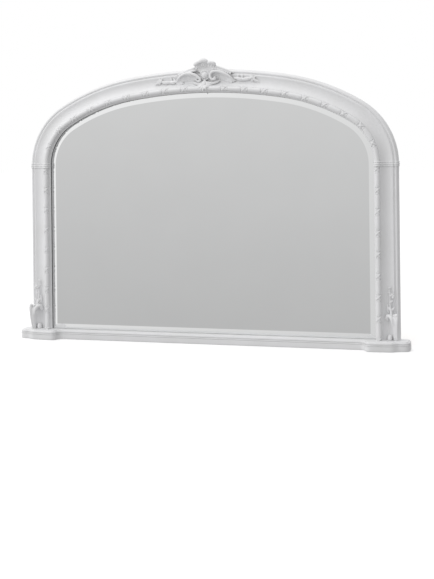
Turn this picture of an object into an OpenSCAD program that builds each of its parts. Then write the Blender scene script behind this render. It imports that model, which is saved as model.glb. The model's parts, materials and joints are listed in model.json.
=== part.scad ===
// Arched overmantel mirror: a painted moulded frame on a breakfront base,
// with a reed-and-ribbon moulding, rococo crest, leaf feet and bevelled glass.
// Width runs along X, the front faces -Y, the wall is on +Y, +Z is up and
// the underside of the base is at Z = 0. Millimetres.

/* [Opening] */
// Width of the opening between the two columns
sight_w = 1048; // [900:2:1200]
// Height of the columns, from the base to where the arch springs
column_h = 530; // [400:1:640]
// Radius of the arch at each corner, on the sight line
corner_r = 153; // [120:1:180]
// Angle that each corner arc turns through
corner_a = 58.5; // [56:0.5:62]
// Radius of the arch over each shoulder, on the sight line
shoulder_r = 575; // [500:1:620]
// Angle that each shoulder arc turns through
shoulder_a = 22; // [20:0.5:24]

/* [Moulding] */
// Width of the face of the moulding
face_w = 69; // [66:0.5:80]
// Height of the glass face above the wall plane
glass_face = 18; // [18:0.5:30]
// Height of the back of the sight lip above the glass face
lip_back = 2.6; // [2:0.1:3]
// Thickness of the sight lip
lip_t = 2.4; // [2:0.1:3]
// Radius of the reed
reed_r = 7.6; // [6.5:0.1:8.5]
// Distance of the reed's centre from the sight edge
reed_s = 11; // [10:0.1:12]
// Height of the reed's centre above the glass face
reed_f = 17.5; // [15:0.1:20]
// Radius of the bead on the outer edge
bead_r = 4.2; // [3:0.1:5]
// How far the back of the moulding flares out past the bead
flare = 4.4; // [2:0.2:6]
// Radius of the wide hollow between reed and bead
hollow_r = 25; // [22:0.5:28]

/* [Ribbon ties] */
// Number of spaces between ties from each collar to the crown
arch_spaces = 10; // [6:1:14]
// Spacing of the ties on the columns
tie_pitch = 64.5; // [45:0.5:80]
// Length of one tie along the reed
tie_len = 30; // [20:1:36]
// Width of one ribbon
ribbon_w = 4.2; // [3:0.1:5]
// Thickness of the ribbon on the reed
ribbon_t = 2.2; // [1.4:0.1:2.6]

/* [Collars] */
// Height of the collar band at each springing
collar_h = 17; // [10:0.5:26]
// How far the collar stands proud of the moulding
collar_t = 2.6; // [1.5:0.1:4]

/* [Base] */
// How far the base runs past each column
base_over = 35; // [32:1:60]
// Height of the flat fascia of the base
fascia_h = 20.5; // [16:0.5:30]
// Height of the stepped moulding on top of the fascia
step_h = 9.5; // [9:0.5:14]
// How far the stepped moulding draws in
step_in = 11; // [9:0.5:12]
// How far the straight middle of the base stands in front of the glass
shelf_out = 25; // [20:0.5:32]
// How far the blocks under the columns stand in front of the glass
block_out = 53; // [50:0.5:62]
// How far each block starts inside the sight edge
block_lead = 46; // [40:1:60]
// Radius of the two curves that lead out to a block
ogee_r = 17; // [15.5:0.5:22]
// Width of the drawn-back ear at each end
ear_w = 44; // [42:1:50]
// How far the ear is drawn back from the block
ear_in = 13; // [8:0.5:16]

/* [Glass and back] */
// Thickness of the mirror glass
glass_t = 4; // [3:0.5:6]
// Width of the bevel
bevel_w = 24; // [15:0.5:30]
// Thickness of the glass at its bevelled edge
edge_t = 2; // [1.5:0.1:2.5]
// How far the glass reaches behind the sight lip
glass_lap = 8; // [5:0.5:9]
// Gap round the edge of the glass
glass_gap = 2; // [1:0.5:3]
// Width of the black glazing tape
tape_w = 5; // [3:0.5:6]
// Thickness of the backing board
backing_t = 3; // [2.5:0.5:4]
// Width of the ledge that the backing board screws to
ledge_w = 10; // [8:0.5:12]
// Gap round the edge of the backing board
backing_gap = 1; // [0.5:0.5:2]
// Depth of the groove in the base under the glass
groove_d = 1.5; // [1:0.5:3]
// Height of the batten behind the foot of the backing board
batten_h = 14; // [10:1:20]
// Depth of that batten
batten_d = 9; // [8:0.5:10]

/* [Fixings] */
// Diameter of the dowels at the head of each column
dowel_d = 8; // [6:1:10]
// Length of those dowels
dowel_len = 60; // [40:1:80]
// Length of the dowels across the joints of the head
peg_len = 50; // [30:1:60]
// Diameter of the screws up through the base
base_screw_d = 5; // [4:0.5:6]
// Length of the screws up through the base
base_screw_len = 70; // [50:1:90]
// Diameter of the small screws in the back
screw_d = 3.5; // [3:0.1:4]
// Length of the small screws, under the head
screw_len = 16; // [14:1:18]
// Clearance between a fixing and its hole, across the diameter
fit = 0.2; // [0.1:0.05:0.4]

/* [Hangers] */
// Height of the ring hinge above the bottom of the base
hanger_z = 500; // [440:1:530]
// Width of the hanger strap
strap_w = 16; // [12:1:20]
// Length of the strap below the hinge
strap_len = 62; // [56:1:75]
// Thickness of the strap
strap_t = 1.5; // [1:0.1:2]
// Diameter of the ring's wire
wire_d = 3; // [2.5:0.1:4]
// Width of the ring inside its wire
ring_w = 25; // [23:1:32]
// Length of the ring inside, from hinge bar to bow
ring_len = 21; // [17:1:25]
// Radial clearance of the hinge bar in its barrel
hinge_gap = 0.06; // [0.03:0.01:0.1]

/* [Crest] */
// Height of the boss above the sight edge of the crown
boss_s = 53.5; // [50:0.5:58]
// Radius of the round boss
boss_r = 12.5; // [9:0.5:15]
// Height of the shell above the boss's centre
shell_h = 53; // [44:1:62]
// Half the spread of the leaf sprays
spray_w = 170; // [140:1:200]

/* [Leaf feet] */
// Height of the leaf foot's scroll above the base
leaf_h = 78; // [60:1:95]
// Height of the top of the sprig above the base
sprig_h = 156; // [130:1:180]

/* [Hidden] */
$fn = 96;

// colours
paint = [0.93, 0.93, 0.94];
silvered = [0.72, 0.73, 0.74];
black_foam = [0.08, 0.08, 0.08];
bare_board = [0.62, 0.50, 0.36];
bare_wood = [0.80, 0.66, 0.46];
zinc = [0.75, 0.76, 0.78];

// heights and depths that follow from the sizes above
base_h = fascia_h + step_h;
spring_z = base_h + column_h;
half_w = sight_w / 2;
rebate_w = glass_lap + glass_gap;
ledge_out = rebate_w + ledge_w;
barrel_r = wire_d / 2 + hinge_gap + 1.5;
ring_rise = 0.4;
hinge_out = strap_t + ring_rise + wire_d / 2;
back_reach = hinge_out + barrel_r;
block_d = glass_face + block_out;
shelf_d = glass_face + shelf_out;
base_half = half_w + face_w + base_over;
y_wall = (block_d - back_reach) / 2;
y_glass = y_wall - glass_face;
seat_gap = 0.02;

// arch geometry: corner, shoulder and crown arcs meet on common tangents
sum_a = corner_a + shoulder_a;
corner_c = [half_w - corner_r, spring_z];
shoulder_c = corner_c - (shoulder_r - corner_r) * [cos(corner_a), sin(corner_a)];
crown_r = shoulder_r + shoulder_c[0] / cos(sum_a);
crown_c = shoulder_c - (crown_r - shoulder_r) * [cos(sum_a), sin(sum_a)];
crown_z = crown_c[1] + crown_r;

// --- shared shapes ---------------------------------------------------------

// Face space: X right, Y up, Z forward from the face of the glass.
module face() {
    translate([0, y_glass, 0]) rotate([90, 0, 0]) children();
}

// Both sides of the object from the right-hand one.
module side(hand) {
    mirror([hand < 0 ? 1 : 0, 0, 0]) children();
}

// Points of the arch, a distance off outside the sight line, right to left.
function arc_points(c, r, a0, a1, n) =
    [for (i = [0:n]) let (a = a0 + (a1 - a0) * i / n) c + r * [cos(a), sin(a)]];
function flip(points) = [for (i = [len(points) - 1:-1:0]) [-points[i][0], points[i][1]]];
function drop_last(points) = [for (i = [0:len(points) - 2]) points[i]];
function half_arch(off) = concat(
    drop_last(arc_points(corner_c, corner_r + off, 0, corner_a, 16)),
    drop_last(arc_points(shoulder_c, shoulder_r + off, corner_a, sum_a, 12)),
    arc_points(crown_c, crown_r + off, sum_a, 90, 10));
function whole_arch(off) = concat(drop_last(half_arch(off)), flip(half_arch(off)));
// The opening's outline, with its foot at height foot.
function opening_outline(off, foot) = concat(
    [[-half_w - off, foot], [half_w + off, foot]], whole_arch(off));

// The children, a section drawn as distance from the sight edge and height,
// carried up a column from height low to height high.
module up_column(low, high) {
    translate([half_w, high, 0]) rotate([90, 0, 0])
        linear_extrude(high - low) children();
}

// The same section carried round each arc of the head. The head is built up
// from five segments that butt together where the radius changes. Each arc may
// be cut short by a length at both ends.
module round_arc(c, r, start, turn, cut, facets) {
    short = cut / r * 180 / PI;
    translate([c[0], c[1], 0]) rotate([0, 0, start + short])
        rotate_extrude(angle = turn - 2 * short, $fn = facets) translate([r, 0]) children();
}
module round_corner(cut = 0) {
    round_arc(corner_c, corner_r, 0, corner_a, cut, 180) children();
}
module round_shoulder(cut = 0) {
    round_arc(shoulder_c, shoulder_r, corner_a, shoulder_a, cut, 360) children();
}
module round_crown(cut = 0) {
    round_arc(crown_c, crown_r, sum_a, 180 - 2 * sum_a, cut, 240) children();
}

// --- section of the moulding -----------------------------------------------

lip_front = lip_back + lip_t;
hollow_s0 = reed_s + reed_r + 1.4;
hollow_s1 = face_w - 15;
hollow_f0 = reed_f - 2.5;
hollow_f1 = 2.6;
bead_s = face_w - bead_r;
bead_f = -bead_r + 0.2;
flare_f = bead_f - 9;
// centre of the arc through the two ends of the hollow
hollow_mid = [(hollow_s0 + hollow_s1) / 2, (hollow_f0 + hollow_f1) / 2];
hollow_half = norm([hollow_s1 - hollow_s0, hollow_f1 - hollow_f0]) / 2;
hollow_dir = [hollow_f0 - hollow_f1, hollow_s1 - hollow_s0] / (2 * hollow_half);
hollow_c = hollow_mid + sqrt(pow(hollow_r, 2) - pow(hollow_half, 2)) * hollow_dir;

// The face of the moulding down to height low, grown outwards by g.
module face_section(low, g = 0, coarse = false) {
    cove_r = 9;
    difference() {
        polygon([
            [-g, low], [face_w + flare + g, low], [face_w + flare + g, flare_f + g],
            [face_w - 0.3 + g, flare_f + flare + g], [face_w - 0.3 + g, bead_f],
            [bead_s, bead_f], [bead_s - bead_r + 0.6, bead_f + bead_r - 1.8 + g],
            [hollow_s1 + 2.6 + g, hollow_f1 - 2.2 + g], [hollow_s1 + 2.6 + g, hollow_f1 + g],
            [hollow_s1, hollow_f1 + g], [hollow_s0, hollow_f0 + g],
            [reed_s, reed_f], [reed_s - reed_r + 0.8, reed_f - 1.5 + g],
            [-g, lip_front + g * 0.4]]);
        translate(hollow_c) circle(r = hollow_r - g, $fn = coarse ? 40 : 180);
        translate([reed_s - reed_r - cove_r + 2.6 - g, reed_f - 4.6 + g])
            circle(r = cove_r, $fn = coarse ? 24 : 90);
    }
    translate([reed_s, reed_f]) circle(r = reed_r + g, $fn = coarse ? 24 : 60);
    translate([bead_s, bead_f]) circle(r = bead_r + g, $fn = coarse ? 16 : 48);
}

// The whole section, with the rebate for the glass and the backing board.
module frame_section() {
    difference() {
        face_section(-glass_face);
        translate([-1, -glass_face - 1])
            square([rebate_w + 1, glass_face + 1 + lip_back]);
        translate([-1, -glass_face - 1])
            square([ledge_out + 1, glass_face + 1 - glass_t]);
    }
}

// --- fixings ---------------------------------------------------------------

// A screw along +Z with its head below Z = 0.
module pan_screw(d, length) {
    translate([0, 0, -0.55 * d]) cylinder(d = 1.8 * d, h = 0.55 * d);
    cylinder(d = d, h = length - d);
    translate([0, 0, length - d]) cylinder(d1 = d, d2 = 0.6, h = d);
}
module countersunk_screw(d, length) {
    cylinder(d1 = 2 * d, d2 = d, h = d / 2);
    translate([0, 0, d / 2]) cylinder(d = d, h = length - 1.5 * d);
    translate([0, 0, length - d]) cylinder(d1 = d, d2 = 0.8, h = d);
}

// Where the backing screws go: up each side, and round the arch by angle.
backing_s = rebate_w + ledge_w / 2;
backing_heights = [for (i = [1:3]) base_h + column_h * (i - 0.4) / 3];
backing_angles = [20, 50];
module at_backing_screws() {
    for (hand = [-1, 1]) side(hand) {
        for (z = backing_heights) translate([half_w + backing_s, z, 0]) children();
        for (a = backing_angles)
            translate(corner_c + (corner_r + backing_s) * [cos(a), sin(a)]) children();
        let (a = corner_a + shoulder_a / 2)
            translate(shoulder_c + (shoulder_r + backing_s) * [cos(a), sin(a)]) children();
    }
    translate([0, crown_z + backing_s, 0]) children();
}
backing_back = glass_t + backing_t;
module backing_screw_holes() {
    at_backing_screws() translate([0, 0, -backing_back - 1])
        cylinder(d = screw_d + fit, h = screw_len + 2);
}

// Dowels and base screws stand in the thick outer part of each column.
dowel_f = -glass_face / 2;
post_s = [ledge_out + 8, face_w - 12];
module at_posts() {
    for (hand = [-1, 1], s = post_s) translate([hand * (half_w + s), 0, dowel_f]) children();
}
module dowels(d) {
    at_posts() translate([0, spring_z - dowel_len / 2, 0]) rotate([-90, 0, 0])
        cylinder(d = d, h = dowel_len);
}
// One dowel along the tangent at each butt joint of the head.
joint_s = (ledge_out + face_w) / 2;
joints = [corner_c + (corner_r + joint_s) * [cos(corner_a), sin(corner_a)],
    shoulder_c + (shoulder_r + joint_s) * [cos(sum_a), sin(sum_a)]];
joint_angles = [corner_a, sum_a];
module joint_pegs(d) {
    for (hand = [-1, 1], i = [0, 1]) side(hand)
        translate([joints[i][0], joints[i][1], dowel_f]) rotate([0, 0, joint_angles[i]])
            translate([0, -peg_len / 2, 0]) rotate([-90, 0, 0]) cylinder(d = d, h = peg_len);
}
module base_screw_holes() {
    at_posts() translate([0, -1, 0]) rotate([-90, 0, 0])
        cylinder(d = base_screw_d + fit, h = base_screw_len + 2);
    at_posts() rotate([-90, 0, 0])
        cylinder(d1 = 2 * base_screw_d, d2 = base_screw_d, h = base_screw_d / 2);
}

// Hanger screws, in the middle of the back of each column.
hanger_s = (ledge_out + face_w) / 2;
strap_screw_drops = [ring_len + 2 * wire_d + 5, strap_len - 7];
module at_strap_screws() {
    for (hand = [-1, 1], drop = strap_screw_drops)
        translate([hand * (half_w + hanger_s), hanger_z - drop, -glass_face]) children();
}
module strap_screw_holes() {
    at_strap_screws() translate([0, 0, -strap_t - 1])
        cylinder(d = screw_d + fit, h = screw_len + 1);
}

// --- columns, head and collars ---------------------------------------------

module column(hand) {
    face() difference() {
        side(hand) up_column(base_h, spring_z) frame_section();
        backing_screw_holes();
        dowels(dowel_d + fit);
        base_screw_holes();
        strap_screw_holes();
    }
}
module left_column() { color(paint) column(-1); }
module right_column() { color(paint) column(1); }

module head_corner(hand) {
    face() difference() {
        side(hand) round_corner() frame_section();
        backing_screw_holes();
        dowels(dowel_d + fit);
        joint_pegs(dowel_d + fit);
    }
}
module left_corner() { color(paint) head_corner(-1); }
module right_corner() { color(paint) head_corner(1); }

module head_shoulder(hand) {
    face() difference() {
        side(hand) round_shoulder() frame_section();
        backing_screw_holes();
        joint_pegs(dowel_d + fit);
    }
}
module left_shoulder() { color(paint) head_shoulder(-1); }
module right_shoulder() { color(paint) head_shoulder(1); }

module head_crown() {
    color(paint) face() difference() {
        round_crown() frame_section();
        backing_screw_holes();
        joint_pegs(dowel_d + fit);
    }
}

// A band of three beads wrapped over the moulding at the springing. Above the
// springing it stands clear by ease, because the arch curves away there.
module collar_section(g, ease = 0) {
    difference() {
        face_section(-glass_face, g);
        face_section(-glass_face - 1, ease);
        translate([-g - 1, -glass_face - 1]) square([g + 2, glass_face + 1 + lip_back]);
    }
}
module collar(hand) {
    edge_h = collar_h * 0.24;
    low = spring_z - collar_h / 2;
    high = spring_z + collar_h / 2;
    ease = 0.1 + pow(collar_h / 2, 2) / (2 * corner_r);
    face() side(hand) {
        up_column(low, low + edge_h) collar_section(collar_t * 0.55);
        up_column(low + edge_h, spring_z) collar_section(collar_t);
        up_column(spring_z, high - edge_h) collar_section(collar_t, ease);
        up_column(high - edge_h, high) collar_section(collar_t * 0.55, ease);
    }
}
module left_collar() { color(paint) collar(-1); }
module right_collar() { color(paint) collar(1); }

// --- ribbon ties on the reed -----------------------------------------------

// One tie, with the reed along Y through the origin and Z forward: a V, a
// crossing and an inverted V of ribbon.
module ribbon_tie() {
    end_y = tie_len / 2 - 4.5;
    intersection() {
        translate([0, -tie_len / 2, 0]) rotate([-90, 0, 0])
            cylinder(r = reed_r + ribbon_t, h = tie_len, $fn = 48);
        union() {
            for (way = [-1, 1]) {
                rotate([0, 0, way * 37]) cube([60, ribbon_w, 60], center = true);
                translate([0, way * (end_y - 3), reed_r / 2]) rotate([way * 32, 0, 0])
                    cube([60, ribbon_w, 60], center = true);
                translate([0, way * (tie_len / 2 - 1.2), 0]) cube([60, 2.4, 60], center = true);
            }
        }
        translate([-30, -30, hollow_f0 - reed_f + 0.8]) cube([60, 60, 30]);
    }
}

tie_first = spring_z - collar_h / 2 - 6;
tie_count = floor((tie_first + tie_len / 2 - base_h) / tie_pitch) + 1;
module column_ties(hand) {
    face() side(hand) difference() {
        for (i = [0:tie_count - 1])
            translate([half_w + reed_s, tie_first - tie_pitch * i, reed_f]) ribbon_tie();
        up_column(base_h, spring_z) translate([reed_s, reed_f]) circle(r = reed_r + seat_gap);
        for (ends = [[base_h - tie_len, base_h + seat_gap], [spring_z - collar_h / 2, spring_z + collar_h]])
            up_column(ends[0], ends[1]) translate([-face_w, -face_w]) square(3 * face_w);
    }
}
module left_ties() { color(paint) column_ties(-1); }
module right_ties() { color(paint) column_ties(1); }

// Stations along the reed: how far round each arc a length from the springing is.
corner_len = (corner_r + reed_s) * corner_a * PI / 180;
shoulder_len = (shoulder_r + reed_s) * shoulder_a * PI / 180;
crown_len = (crown_r + reed_s) * (90 - sum_a) * PI / 180;
arch_pitch = (corner_len + shoulder_len + crown_len) / arch_spaces;

// Ties that lie on one arc, between two lengths along the reed.
module ties_on_arc(c, r, start_angle, start_len, end_len) {
    spread = 1.2 * tie_len / r * 180 / PI;
    for (i = [1:arch_spaces])
        let (d = arch_pitch * i)
            if (d > start_len && d <= end_len)
                let (a = start_angle + (d - start_len) / r * 180 / PI)
                    translate([c[0], c[1], 0]) rotate([0, 0, a]) translate([r, 0, reed_f])
                        difference() {
                            ribbon_tie();
                            translate([-r, 0, 0]) rotate([0, 0, -spread / 2])
                                rotate_extrude(angle = spread, $fn = 180)
                                    translate([r, 0]) circle(r = reed_r + seat_gap);
                        }
}
module arch_ties(hand) {
    to_shoulder = corner_len;
    to_crown = corner_len + shoulder_len;
    face() side(hand) {
        ties_on_arc(corner_c, corner_r + reed_s, 0, 0, to_shoulder);
        ties_on_arc(shoulder_c, shoulder_r + reed_s, corner_a, to_shoulder, to_crown);
        ties_on_arc(crown_c, crown_r + reed_s, sum_a, to_crown, to_crown + crown_len - tie_len / 2);
    }
}
module left_arch_ties() { color(paint) arch_ties(-1); }
module right_arch_ties() { color(paint) arch_ties(1); }

// --- lofts and sweeps ------------------------------------------------------

// A closed solid through rings of points that all have the same count and run
// anticlockwise seen from the last ring's side. The two end rings are closed by
// one face each, or by a ladder of faces that joins the first point to the
// last, the second to the one before it, and so on.
module loft(rings, ladder = false) {
    n = len(rings[0]);
    m = len(rings);
    top = (m - 1) * n;
    sides = [for (j = [0:m - 2]) for (i = [0:n - 1]) each
        let (k = (i + 1) % n, a = j * n, b = a + n)
            [[a + i, b + k, a + k], [a + i, b + i, b + k]]];
    ends = ladder
        ? [for (i = [0:n / 2 - 2]) each let (k = n - 1 - i)
            [[i, i + 1, k - 1, k], [top + i, top + k, top + k - 1, top + i + 1]]]
        : [[for (i = [0:n - 1]) i], [for (i = [n - 1:-1:0]) top + i]];
    polyhedron(points = [for (r = rings) for (p = r) p], faces = concat(sides, ends));
}

// A smooth run of points through the given ones.
function blend(p0, p1, p2, p3, t) = 0.5 * ((2 * p1) + (p2 - p0) * t
    + (2 * p0 - 5 * p1 + 4 * p2 - p3) * t * t + (3 * p1 - p0 - 3 * p2 + p3) * t * t * t);
function smooth(p, m) = let (n = len(p)) concat(
    [for (i = [0:n - 2]) for (j = [0:m - 1])
        blend(p[max(i - 1, 0)], p[i], p[i + 1], p[min(i + 2, n - 1)], j / m)],
    [p[n - 1]]);

// A carved stem of round section through points [x, y, height, half width],
// grown by g.
module stem(points, m = 2, sides = 6, g = 0) {
    p = smooth(points, m);
    n = len(p);
    rings = [for (i = [0:n - 1])
        let (t = [for (k = [0:1]) p[min(i + 1, n - 1)][k] - p[max(i - 1, 0)][k]],
            u = [-t[1], t[0]] / norm(t), r = p[i][3] + g)
        [for (k = [0:sides - 1]) let (a = 360 * k / sides)
            [p[i][0] + u[0] * r * cos(a), p[i][1] + u[1] * r * cos(a), p[i][2] + r * sin(a)]]];
    loft(rings);
}

// A leaf from root to tip, both [x, y, height], swelling to half width w and half
// depth h, grown by g.
module leaf(root, tip, w, h = 2.5, g = 0) {
    mid = root * 0.45 + tip * 0.55;
    hull() {
        translate(root) sphere(r = w * 0.4 + g, $fn = 6);
        translate(mid) scale([1, 1, h / w]) sphere(r = w + g, $fn = 6);
        translate(tip) sphere(r = w * 0.24 + g, $fn = 5);
    }
}

// A berry or bud.
module bud(at, r, stretch = 1, g = 0) {
    hull() translate(at) scale([1, stretch, 0.8]) sphere(r = r + g, $fn = 8);
}

// --- crest -----------------------------------------------------------------

crest_y = crown_z + boss_s;
shell_k = shell_h / 53;
spray_k = spray_w / 170;
boss_seat = 7;
boss_pad_r = boss_r + 4;
crest_gap = 0.3;

// Crest space: origin at the boss, X right, Y up, Z forward from the glass.
module crest() {
    face() translate([0, crest_y, 0]) children();
}
// The head as the crest sees it, to seat the ornament on the moulding. It is
// drawn with fewer facets, and grown a little so that they stay clear of it.
bed_gap = 0.16;
module crest_bed() {
    translate([0, -crest_y, 0]) round_arc(crown_c, crown_r, sum_a, 180 - 2 * sum_a, 0, 360)
        face_section(-glass_face, bed_gap, true);
}

// The shell: a fluted fan under a lip that rolls forward in three lobes.
rib_angles = [for (i = [-4:4]) 14 * i];
shell_lips = [
    [[-35, 32, 9, 3.2], [-29, 35.6, 11, 6], [-22, 38.4, 12.5, 7], [-16, 40.4, 12, 5.6]],
    [[-18, 40, 10.5, 4.4], [-12, 43.6, 12.5, 6.6], [-3, 46, 13.5, 7.4], [5, 44, 13, 7], [11, 38.6, 11, 4]],
    [[10, 37.6, 10.5, 4], [16, 39, 12.5, 5.4], [26, 38.4, 12.5, 5.4], [32, 36, 11.5, 4.8], [35, 31.6, 9, 3]]];
function tall(p) = [p[0], p[1] * shell_k, p[2], p[3]];
module shell_body(g = 0) {
    translate([0, 0, -6]) cylinder(r = boss_pad_r + g, h = boss_seat + 6, $fn = 40);
    translate([0, 0, -4]) linear_extrude(10 + g) offset(delta = g) polygon([[24, 4], [27, 22],
        [30, 33 * shell_k], [8, 43 * shell_k], [-12, 43 * shell_k], [-32, 34 * shell_k],
        [-32, 20], [-26, 4]]);
    for (a = rib_angles) hull() {
        translate([-13 * sin(a), 13 * cos(a), 5]) sphere(r = 1.8 + g, $fn = 6);
        translate([-24 * sin(a), 24 * cos(a), 4.6]) sphere(r = 2.8 + g, $fn = 6);
        translate([-34 * sin(a), (33 + 5 * cos(a)) * shell_k * cos(a), 8.4]) sphere(r = 3.8 + g, $fn = 6);
    }
    for (lip = shell_lips) stem([for (p = lip) tall(p)], sides = 8, g = g);
}
module crest_shell() {
    color(paint) crest() difference() {
        shell_body();
        crest_bed();
        translate([0, 0, boss_seat]) cylinder(r = boss_pad_r, h = 30, $fn = 40);
    }
}

// The boss: a round cabochon in a raised ring.
module crest_boss() {
    rim_r = 2.2;
    dome_r = (pow(boss_r, 2) + pow(boss_r * 0.72, 2)) / (2 * boss_r * 0.72);
    color(paint) crest() translate([0, 0, boss_seat]) {
        rotate_extrude($fn = 64) {
            intersection() {
                translate([0, boss_r * 0.72 - dome_r]) circle(r = dome_r, $fn = 96);
                square([boss_r, boss_r]);
            }
            difference() {
                translate([boss_r + rim_r * 0.6, 0.4]) circle(r = rim_r, $fn = 32);
                translate([0, -boss_r]) square([2 * boss_pad_r, boss_r]);
            }
        }
    }
}

// The C-scrolls: an arm that starts in a curled eye beside the boss, arches over
// and ends in a fan of small leaves. A web falls away behind the arm, and a leafy
// shoulder lies above it. The two sides differ a little, as carved ones do.
module scroll_body(arm, web_line, fan_root, fan_tips, g) {
    stem(arm, g = g);
    for (i = [0:2]) let (drop = 3 + 6 * i, middle = (web_line[0][0] + web_line[4][0]) / 2)
        stem([for (p = web_line) [middle + (p[0] - middle) * (1 - drop / 34), p[1] - drop,
            9.5 - 3.2 * i, 4.8]], 1, g = g);
    for (tip = fan_tips)
        leaf([fan_root[0], fan_root[1], 5], [tip[0], tip[1], 4], 3.4, 3.2, g);
}
module seated_scroll() {
    crest() difference() {
        children();
        crest_bed();
        shell_body(crest_gap);
        cylinder(r = boss_pad_r + crest_gap, h = 60, center = true, $fn = 40);
    }
}
module left_scroll_body(g = 0) {
    scroll_body(
        [[-92, -19, 6, 2.2], [-87, -11, 9, 3], [-78, -2, 11, 3.6], [-66, 4, 12.5, 3.9],
            [-54, 6, 13.5, 4], [-42, 5.2, 14, 4], [-32, 2.4, 14.5, 3.8], [-24.5, -1.6, 14.5, 3.6],
            [-18, -7, 14.5, 3.5], [-13.6, -12.6, 14, 3.4], [-14, -17.4, 13.5, 3.2],
            [-19.4, -18.4, 13.5, 3.2], [-24.6, -15, 13.5, 3.4], [-27, -9.6, 14, 4]],
        [[-80, -5, 0], [-67, 2, 0], [-54, 4.5, 0], [-42, 3.5, 0], [-31, -1, 0]],
        [-88, -18], [[-66, -25], [-71, -30], [-79, -33], [-87, -32], [-94, -28]], g);
    stem([[-31, 23, 5, 3.4], [-40, 20.6, 5.5, 4.6], [-49, 17.4, 5.5, 5], [-60, 13.4, 5, 4.6],
        [-72, 9, 4.4, 4], [-83, 5.4, 3.6, 3.4], [-92, 3, 2.4, 1.4]], g = g);
    stem([[-28, 14.6, 8, 2.6], [-36, 14.4, 8.8, 3.4], [-47, 11, 8.8, 3.8], [-62, 9, 7, 2.6]], 1, g = g);
    for (i = [0:3]) bud([-84 + 2.4 * i, 1 - 2.5 * i, 5], 2.6, g = g);
}
module right_scroll_body(g = 0) {
    scroll_body(
        [[92, -18, 6, 2.2], [86, -11, 9, 3], [77, -3, 11, 3.6], [64, 3.4, 12.5, 3.9],
            [50, 9, 13.5, 4], [39.5, 11.4, 14, 4], [30.6, 11.4, 14.5, 3.9], [24.4, 8.4, 14.5, 3.7],
            [20.2, 3.4, 14.5, 3.5], [19, -3, 14, 3.5], [20.4, -9.4, 13.5, 3.5], [25, -13.8, 13.2, 3.6],
            [31.4, -14, 13.2, 3.8], [35.4, -10.6, 13.4, 3.6], [32, -7.4, 13.8, 3.4], [26, -7.4, 14, 3.2]],
        [[79, -7, 0], [66, 0, 0], [53, 5, 0], [42, 8, 0], [31, 7, 0]],
        [86, -14], [[72, -21], [79, -25.5], [87, -26], [95, -24.5], [101, -20]], g);
    stem([[32, 28.6, 5, 2.8], [42, 25.2, 5, 3.6], [54, 20.8, 5, 3.6], [69, 14.8, 4.4, 3.6],
        [81, 9.8, 3.6, 3.2], [93, 6, 2.4, 1.6]], g = g);
    stem([[29, 20.4, 8, 2.8], [38, 17.6, 8.4, 3.2], [50, 13.8, 8.4, 3.6], [66, 7.6, 7.2, 3.6],
        [82, 1.8, 5, 3]], 1, g = g);
    for (i = [0:7]) bud([30 + 7 * i, 20.6 - 1.85 * i - 0.06 * i * i, 9.4 - 0.4 * i], 3.8, g = g);
}
module crest_left_scroll() { color(paint) seated_scroll() left_scroll_body(); }
module crest_right_scroll() { color(paint) seated_scroll() right_scroll_body(); }

// A spray of leaves that lies in the hollow: a long leaf of two lobes, with a
// flower of small leaves at its end.
function wide(p) = concat([p[0] * spray_k], [for (i = [1:len(p) - 1]) p[i]]);
module spray_body(body, upright, flower, tips) {
    stem([for (p = body) wide(p)]);
    for (l = upright) leaf(wide([l[0], l[1], 4]), wide([l[2], l[3], 3.4]), 3, 3);
    for (tip = tips)
        leaf(wide([flower[0], flower[1], 5]), wide([tip[0], tip[1], 3.6]), 3.4, 3.4);
    bud(wide([flower[0], flower[1], 5.4]), 4);
}
module crest_left_spray() {
    color(paint) crest() difference() {
        spray_body(
            [[-90, -18, 4, 2.6], [-97, -19, 4, 4.6], [-105, -20, 4, 6], [-117, -19.4, 3.6, 4.4],
            [-127, -20.4, 3.4, 5.8], [-137, -19, 3.4, 4.6], [-145, -16, 3, 2.4]],
            [[-108, -16, -114, -3.5], [-97, -15, -104, -7]], [-145, -16.5],
            [[-140, -5], [-152, -6], [-159, -14], [-167, -27], [-152, -27], [-159, -21]]);
        crest_bed();
        left_scroll_body(crest_gap);
    }
}
module crest_right_spray() {
    color(paint) crest() difference() {
        spray_body(
            [[93, -10.6, 4, 2.8], [102, -11.6, 4, 4.6], [112, -14.4, 4, 5.6], [120, -15.4, 3.6, 4.8],
            [130, -14.8, 3.4, 6], [141, -13.4, 3.4, 5.2], [150, -11.4, 3, 2.6]],
            [[118, -12, 122, 1], [104, -8, 110, 0]], [149, -12],
            [[143, -2.5], [156, -1.5], [165, -8], [165, -19], [175, -26], [153, -24]]);
        crest_bed();
        right_scroll_body(crest_gap);
    }
}

// Pendant of leaves that hangs below the boss over the reed.
module crest_pendant() {
    color(paint) crest() difference() {
        union() {
            stem([[0, -16, 7, 4.4], [0, -21, 8.6, 5.2], [0, -26, 10, 5.6], [-1, -32, 15, 4],
                [-1, -39, 21, 3.6]]);
            stem([[-3, -23, 8, 4], [-11, -26.4, 7.4, 5], [-21, -27.4, 6, 5.6], [-31, -24.4, 4.6, 4.4],
                [-40, -20.4, 3, 1.8]]);
            stem([[3, -23, 8, 4], [11, -26.4, 7.4, 5], [21, -27, 6, 5], [33, -24.4, 4.6, 4.6],
                [43, -21, 3.6, 3.4], [49, -17.4, 3, 1.6]]);
            for (hand = [-1, 1]) {
                leaf([hand * 6, -29, 9], [hand * 22, -33.6, 9], 4, 4);
                leaf([0, -34, 20], [hand * 15, -41, 22], 3.8, 3.8);
                leaf([0, -35, 22], [hand * 9, -47, 26], 3.8, 3.8);
                leaf([0, -34, 17], [hand * 18, -37, 15], 3, 3.4);
            }
            leaf([-1, -37, 22], [-1, -51, 27], 3.4, 3.6);
        }
        crest_bed();
        left_scroll_body(crest_gap);
        right_scroll_body(crest_gap);
        cylinder(r = boss_pad_r + crest_gap, h = 60, center = true, $fn = 40);
    }
}

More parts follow.
